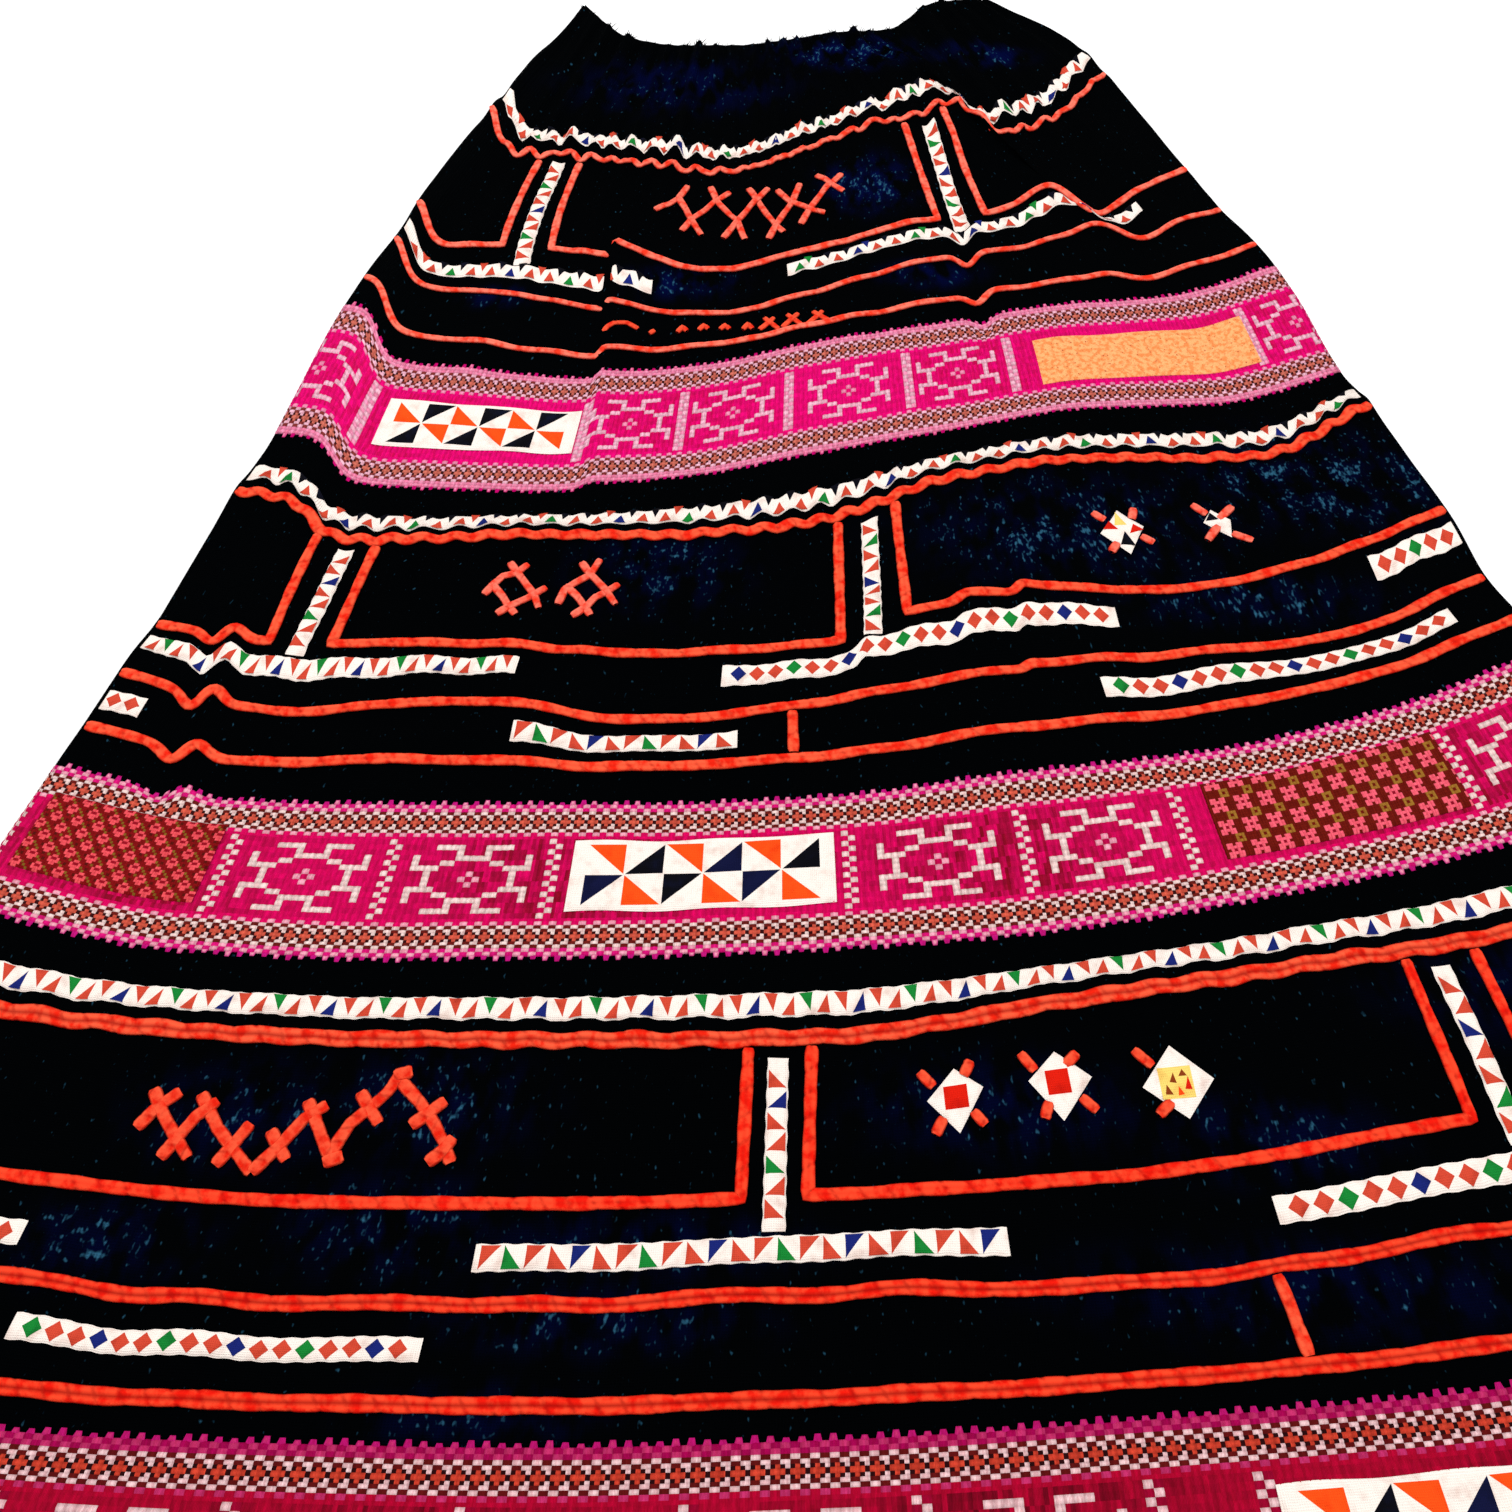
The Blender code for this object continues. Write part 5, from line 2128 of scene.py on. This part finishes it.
MIDDLE_CORNERS = ((-0.4, -14.8), (15.6, 0.6), (1, 12.2), (-12.8, 2))
PRINT_CORNERS = ((1.4, -13.4), (16.4, -0.6), (1, 14.2), (-15.2, 0))
SQUARE = (Outline(((-5.2, -4.8), (5.2, -4.8), (5.2, 4.8), (-5.2, 4.8)), Dye.VERMILION),)
FIRST_ARMS = ((-15.5, 11, -9.5, 4.5), (4, 9.5, 7.5, 16.5), (-6, -9, -10, -16.5),
              (7, -6, 12, -12))
MIDDLE_ARMS = ((-15.5, 13, -9.5, 5), (4, 7.5, 10, 13.5), (-5, -9, -7.5, -16.5),
               (9.5, -6.5, 16, -12.5))
PRINT_SHAPES = (
    Outline(((-8, -5.6), (6.4, -6.4), (7.2, 5.4), (-7.4, 6)), Dye.YELLOW),
    Outline(((-3.4, 0.3), (-0.4, -0.4), (-1, 3.6)), Dye.BROWN, 0.3),
    Outline(((2.6, -3), (5.6, -3.4), (5, 1.6)), Dye.VERMILION, 0.3),
    Outline(((-6.4, -4), (-3, -4.4), (-5, -0.4)), Dye.BROWN, 0.3),
    Outline(((1, 2), (4.8, 1.8), (3.2, 4.4)), Dye.BROWN, 0.3),
    Outline(((-1, -5), (1.8, -4.8), (0, -1.6)), Dye.ORANGE, 0.3),
)
PRINT_ARMS = ((-17, 15, -9.5, 7.5), (-3.5, -8.5, -10, -14.5))


@dataclass
class Skirt:
    """The whole dressed skirt."""

    form: SkirtForm
    finishes: Finishes

    def build(self) -> None:
        """Builds every sub-assembly in order."""
        self.build_tube()
        self.build_cords()
        self.build_strips()
        self.build_patches()
        self.build_panels()
        WaistFray(self.form).build(self.finishes)

    def build_tube(self) -> None:
        """Builds the yoke, tiers, bands and hem."""
        for tier in (
            ("hem", 0.6, 29.8, 34), ("tier_3_cloth", 115.2, 319.8, 210),
            ("tier_2_cloth", 399.2, 626.8, 232), ("tier_1_cloth", 716.2, 906.8, 200),
            ("waist_yoke", 907.0, 1020.0, 130, 1.9, 7.0),
        ):
            PlainTier(self.form, *tier).build(self.finishes)
        for band in (
            ("band_1", 627, 716, 2.85, (-275, -147, -90, -27, 43, 107, 255),
             ((-266, -150), (113, 252)), FIRST_THREADS),
            ("band_2", 320, 399, 3.4, (-411, -300, -222, -144, -3, 83, 160, 303),
             ((-405, -306), (-138, -8), (166, 300)), SECOND_THREADS),
            ("band_3", 30, 115, 3.9, (-424, -336, -248, -160, -72, 16, 104, 150, 284, 372),
             ((152, 280),), THIRD_THREADS),
        ):
            stitched = StitchedBand(self.form, *band)
            stitched.build(self.finishes)
            stitched.build_teeth(self.finishes)

    def build_cords(self) -> None:
        """Builds the long cords, the panels' frames and the short upright cords."""
        for name, at, width, wool, double in CORDS:
            SewnCord(self.form, name, ((-SIDE, at), (SIDE, at)), width,
                     double=double).build(self.finishes.wool[wool])
        for panel in PANELS:
            SewnCord(self.form, panel.name, panel.path(),
                     panel.width).build(self.finishes.wool[panel.wool])
        for name, path in (("short_cord_2", ((-0.038, 426.5), (-0.038, 451.5))),
                           ("short_cord_3", ((0.389, 133.5), (0.382, 165.5)))):
            SewnCord(self.form, name, path).build(self.finishes.wool[Wool.RED])

    def build_strips(self) -> None:
        """Builds the pieced strips."""
        for strip in STRIPS:
            PiecedStrip(self.form, *strip).build(self.finishes)

    def build_patches(self) -> None:
        """Builds the patches on the bands."""
        for name, start, end, foot, top, rows in (
            ("pinwheel_patch_1", -0.835, -0.460, 655, 689, (FIRST_TOP, FIRST_FOOT)),
            ("pinwheel_patch_2", -0.310, 0.008, 342, 379, (SECOND_TOP, SECOND_FOOT)),
            ("pinwheel_patch_3", 0.333, 0.590, 52, 90, (SECOND_TOP, SECOND_FOOT)),
        ):
            patch = BandPatch(self.form, name, start, end, foot, top)
            PinwheelPatch(patch, *rows).build(self.finishes)
        orange = BandPatch(self.form, "orange_patch_1", 0.435, 0.865, 650, 688)
        orange.declare(orange.base(self.finishes.speckled, "orange_cotton"), [])
        left = BandPatch(self.form, "brown_patch_2_left", -0.974, -0.745, 343, 385)
        BlossomPatch(left, CLOSE_BLOSSOMS, CLOSE_THREADS, 10.8).build(self.finishes)
        right = BandPatch(self.form, "brown_patch_2_right", 0.473, 0.785, 341, 382)
        BlossomPatch(right, OPEN_BLOSSOMS, OPEN_THREADS).build(self.finishes)

    def build_panels(self) -> None:
        """Builds the corner patches and the wool bars."""
        for patch in (
            ("cross_patch_2_left", 0.493, 527, STAR_CORNERS, STAR_SHAPES, STAR_ARMS,
             Wool.CORAL),
            ("cross_patch_2_right", 0.652, 530, BOW_CORNERS, BOW_SHAPES, BOW_ARMS, Wool.CORAL),
            ("diamond_patch_3_left", 0.119, 244, FIRST_CORNERS, SQUARE, FIRST_ARMS, Wool.RED),
            ("diamond_patch_3_middle", 0.223, 244, MIDDLE_CORNERS, SQUARE, MIDDLE_ARMS,
             Wool.RED),
            ("diamond_patch_3_right", 0.341, 238, PRINT_CORNERS, PRINT_SHAPES, PRINT_ARMS,
             Wool.RED),
        ):
            CornerPatch(self.form, *patch).build(self.finishes)
        for name, bars, width, wool in (
            ("panel_one_bars", PANEL_ONE_BARS, 4.6, Wool.CORAL),
            ("panel_two_bars", PANEL_TWO_BARS, 4.5, Wool.CORAL),
            ("panel_three_bars", PANEL_THREE_BARS, 5.8, Wool.RED),
            ("cord_gap_bars", BETWEEN_CORD_BARS, 3.4, Wool.RED),
        ):
            BarMotif(self.form, name, bars, width).build(self.finishes.wool[wool])


@dataclass
class Studio:
    """The pale floor, the soft lights and the camera, in metres."""

    eye: Triple = (-0.0355, -0.4722, 0.6046)
    tilt: float = 31.0
    lens: float = 33.33
    sensor: float = 36.0
    air: float = 0.55
    floor_size: float = 6.0
    floor_drop: float = 0.0006

    def build(self) -> None:
        """Builds the studio."""
        self.build_floor()
        self.build_light("key_light", (-0.9, 0.9, 2.2), 1.8, 46.0)
        self.build_light("fill_light", (1.2, -0.9, 1.9), 2.0, 24.0)
        world = bpy.data.worlds.new("studio_air")
        tree = own_tree(world)
        fill(tree, tree.nodes["Background"], {"Color": "#ffffff", "Strength": self.air})
        bpy.context.scene.world = world
        bpy.context.scene.view_settings.view_transform = "Standard"
        camera = bpy.data.objects.new("camera", bpy.data.cameras.new("camera"))
        camera.data.lens = self.lens
        camera.data.sensor_width = self.sensor
        camera.location = self.eye
        camera.rotation_euler = (math.radians(self.tilt), 0.0, 0.0)
        bpy.context.scene.collection.objects.link(camera)
        bpy.context.scene.camera = camera

    def build_floor(self) -> None:
        """Builds a plain pale floor just under the cloth."""
        mesh = bmesh.new()
        bmesh.ops.create_grid(mesh, x_segments=1, y_segments=1, size=self.floor_size)
        for vertex in mesh.verts:
            vertex.co.z = -self.floor_drop
        data = closed(mesh, "floor")
        material = bpy.data.materials.new("pale_floor")
        tree = own_tree(material)
        fill(tree, tree.nodes["Principled BSDF"],
             {"Base Color": "#f7f7f7", "Roughness": 0.9, "Specular IOR Level": 0.1})
        data.materials.append(material)
        floor = bpy.data.objects.new("floor", data)
        bpy.context.scene.collection.objects.link(floor)

    def build_light(self, name: str, place: Triple, size: float, power: float) -> None:
        """Builds a square soft light that faces the skirt's middle.

        Args:
            name: The light's name.
            place: Where it hangs.
            size: Length of its side.
            power: Its power in watts.
        """
        lamp = bpy.data.lights.new(name, "AREA")
        lamp.size = size
        lamp.energy = power
        light = bpy.data.objects.new(name, lamp)
        light.location = place
        light.rotation_euler = (-Vector(place)).to_track_quat("-Z", "Y").to_euler()
        bpy.context.scene.collection.objects.link(light)


def main() -> None:
    """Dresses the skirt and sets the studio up."""
    logging.basicConfig(level=logging.INFO, format="%(name)s %(message)s")
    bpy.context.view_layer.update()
    Skirt(SkirtForm(), Finishes()).build()
    Studio().build()


if __name__ == "__main__":
    main()
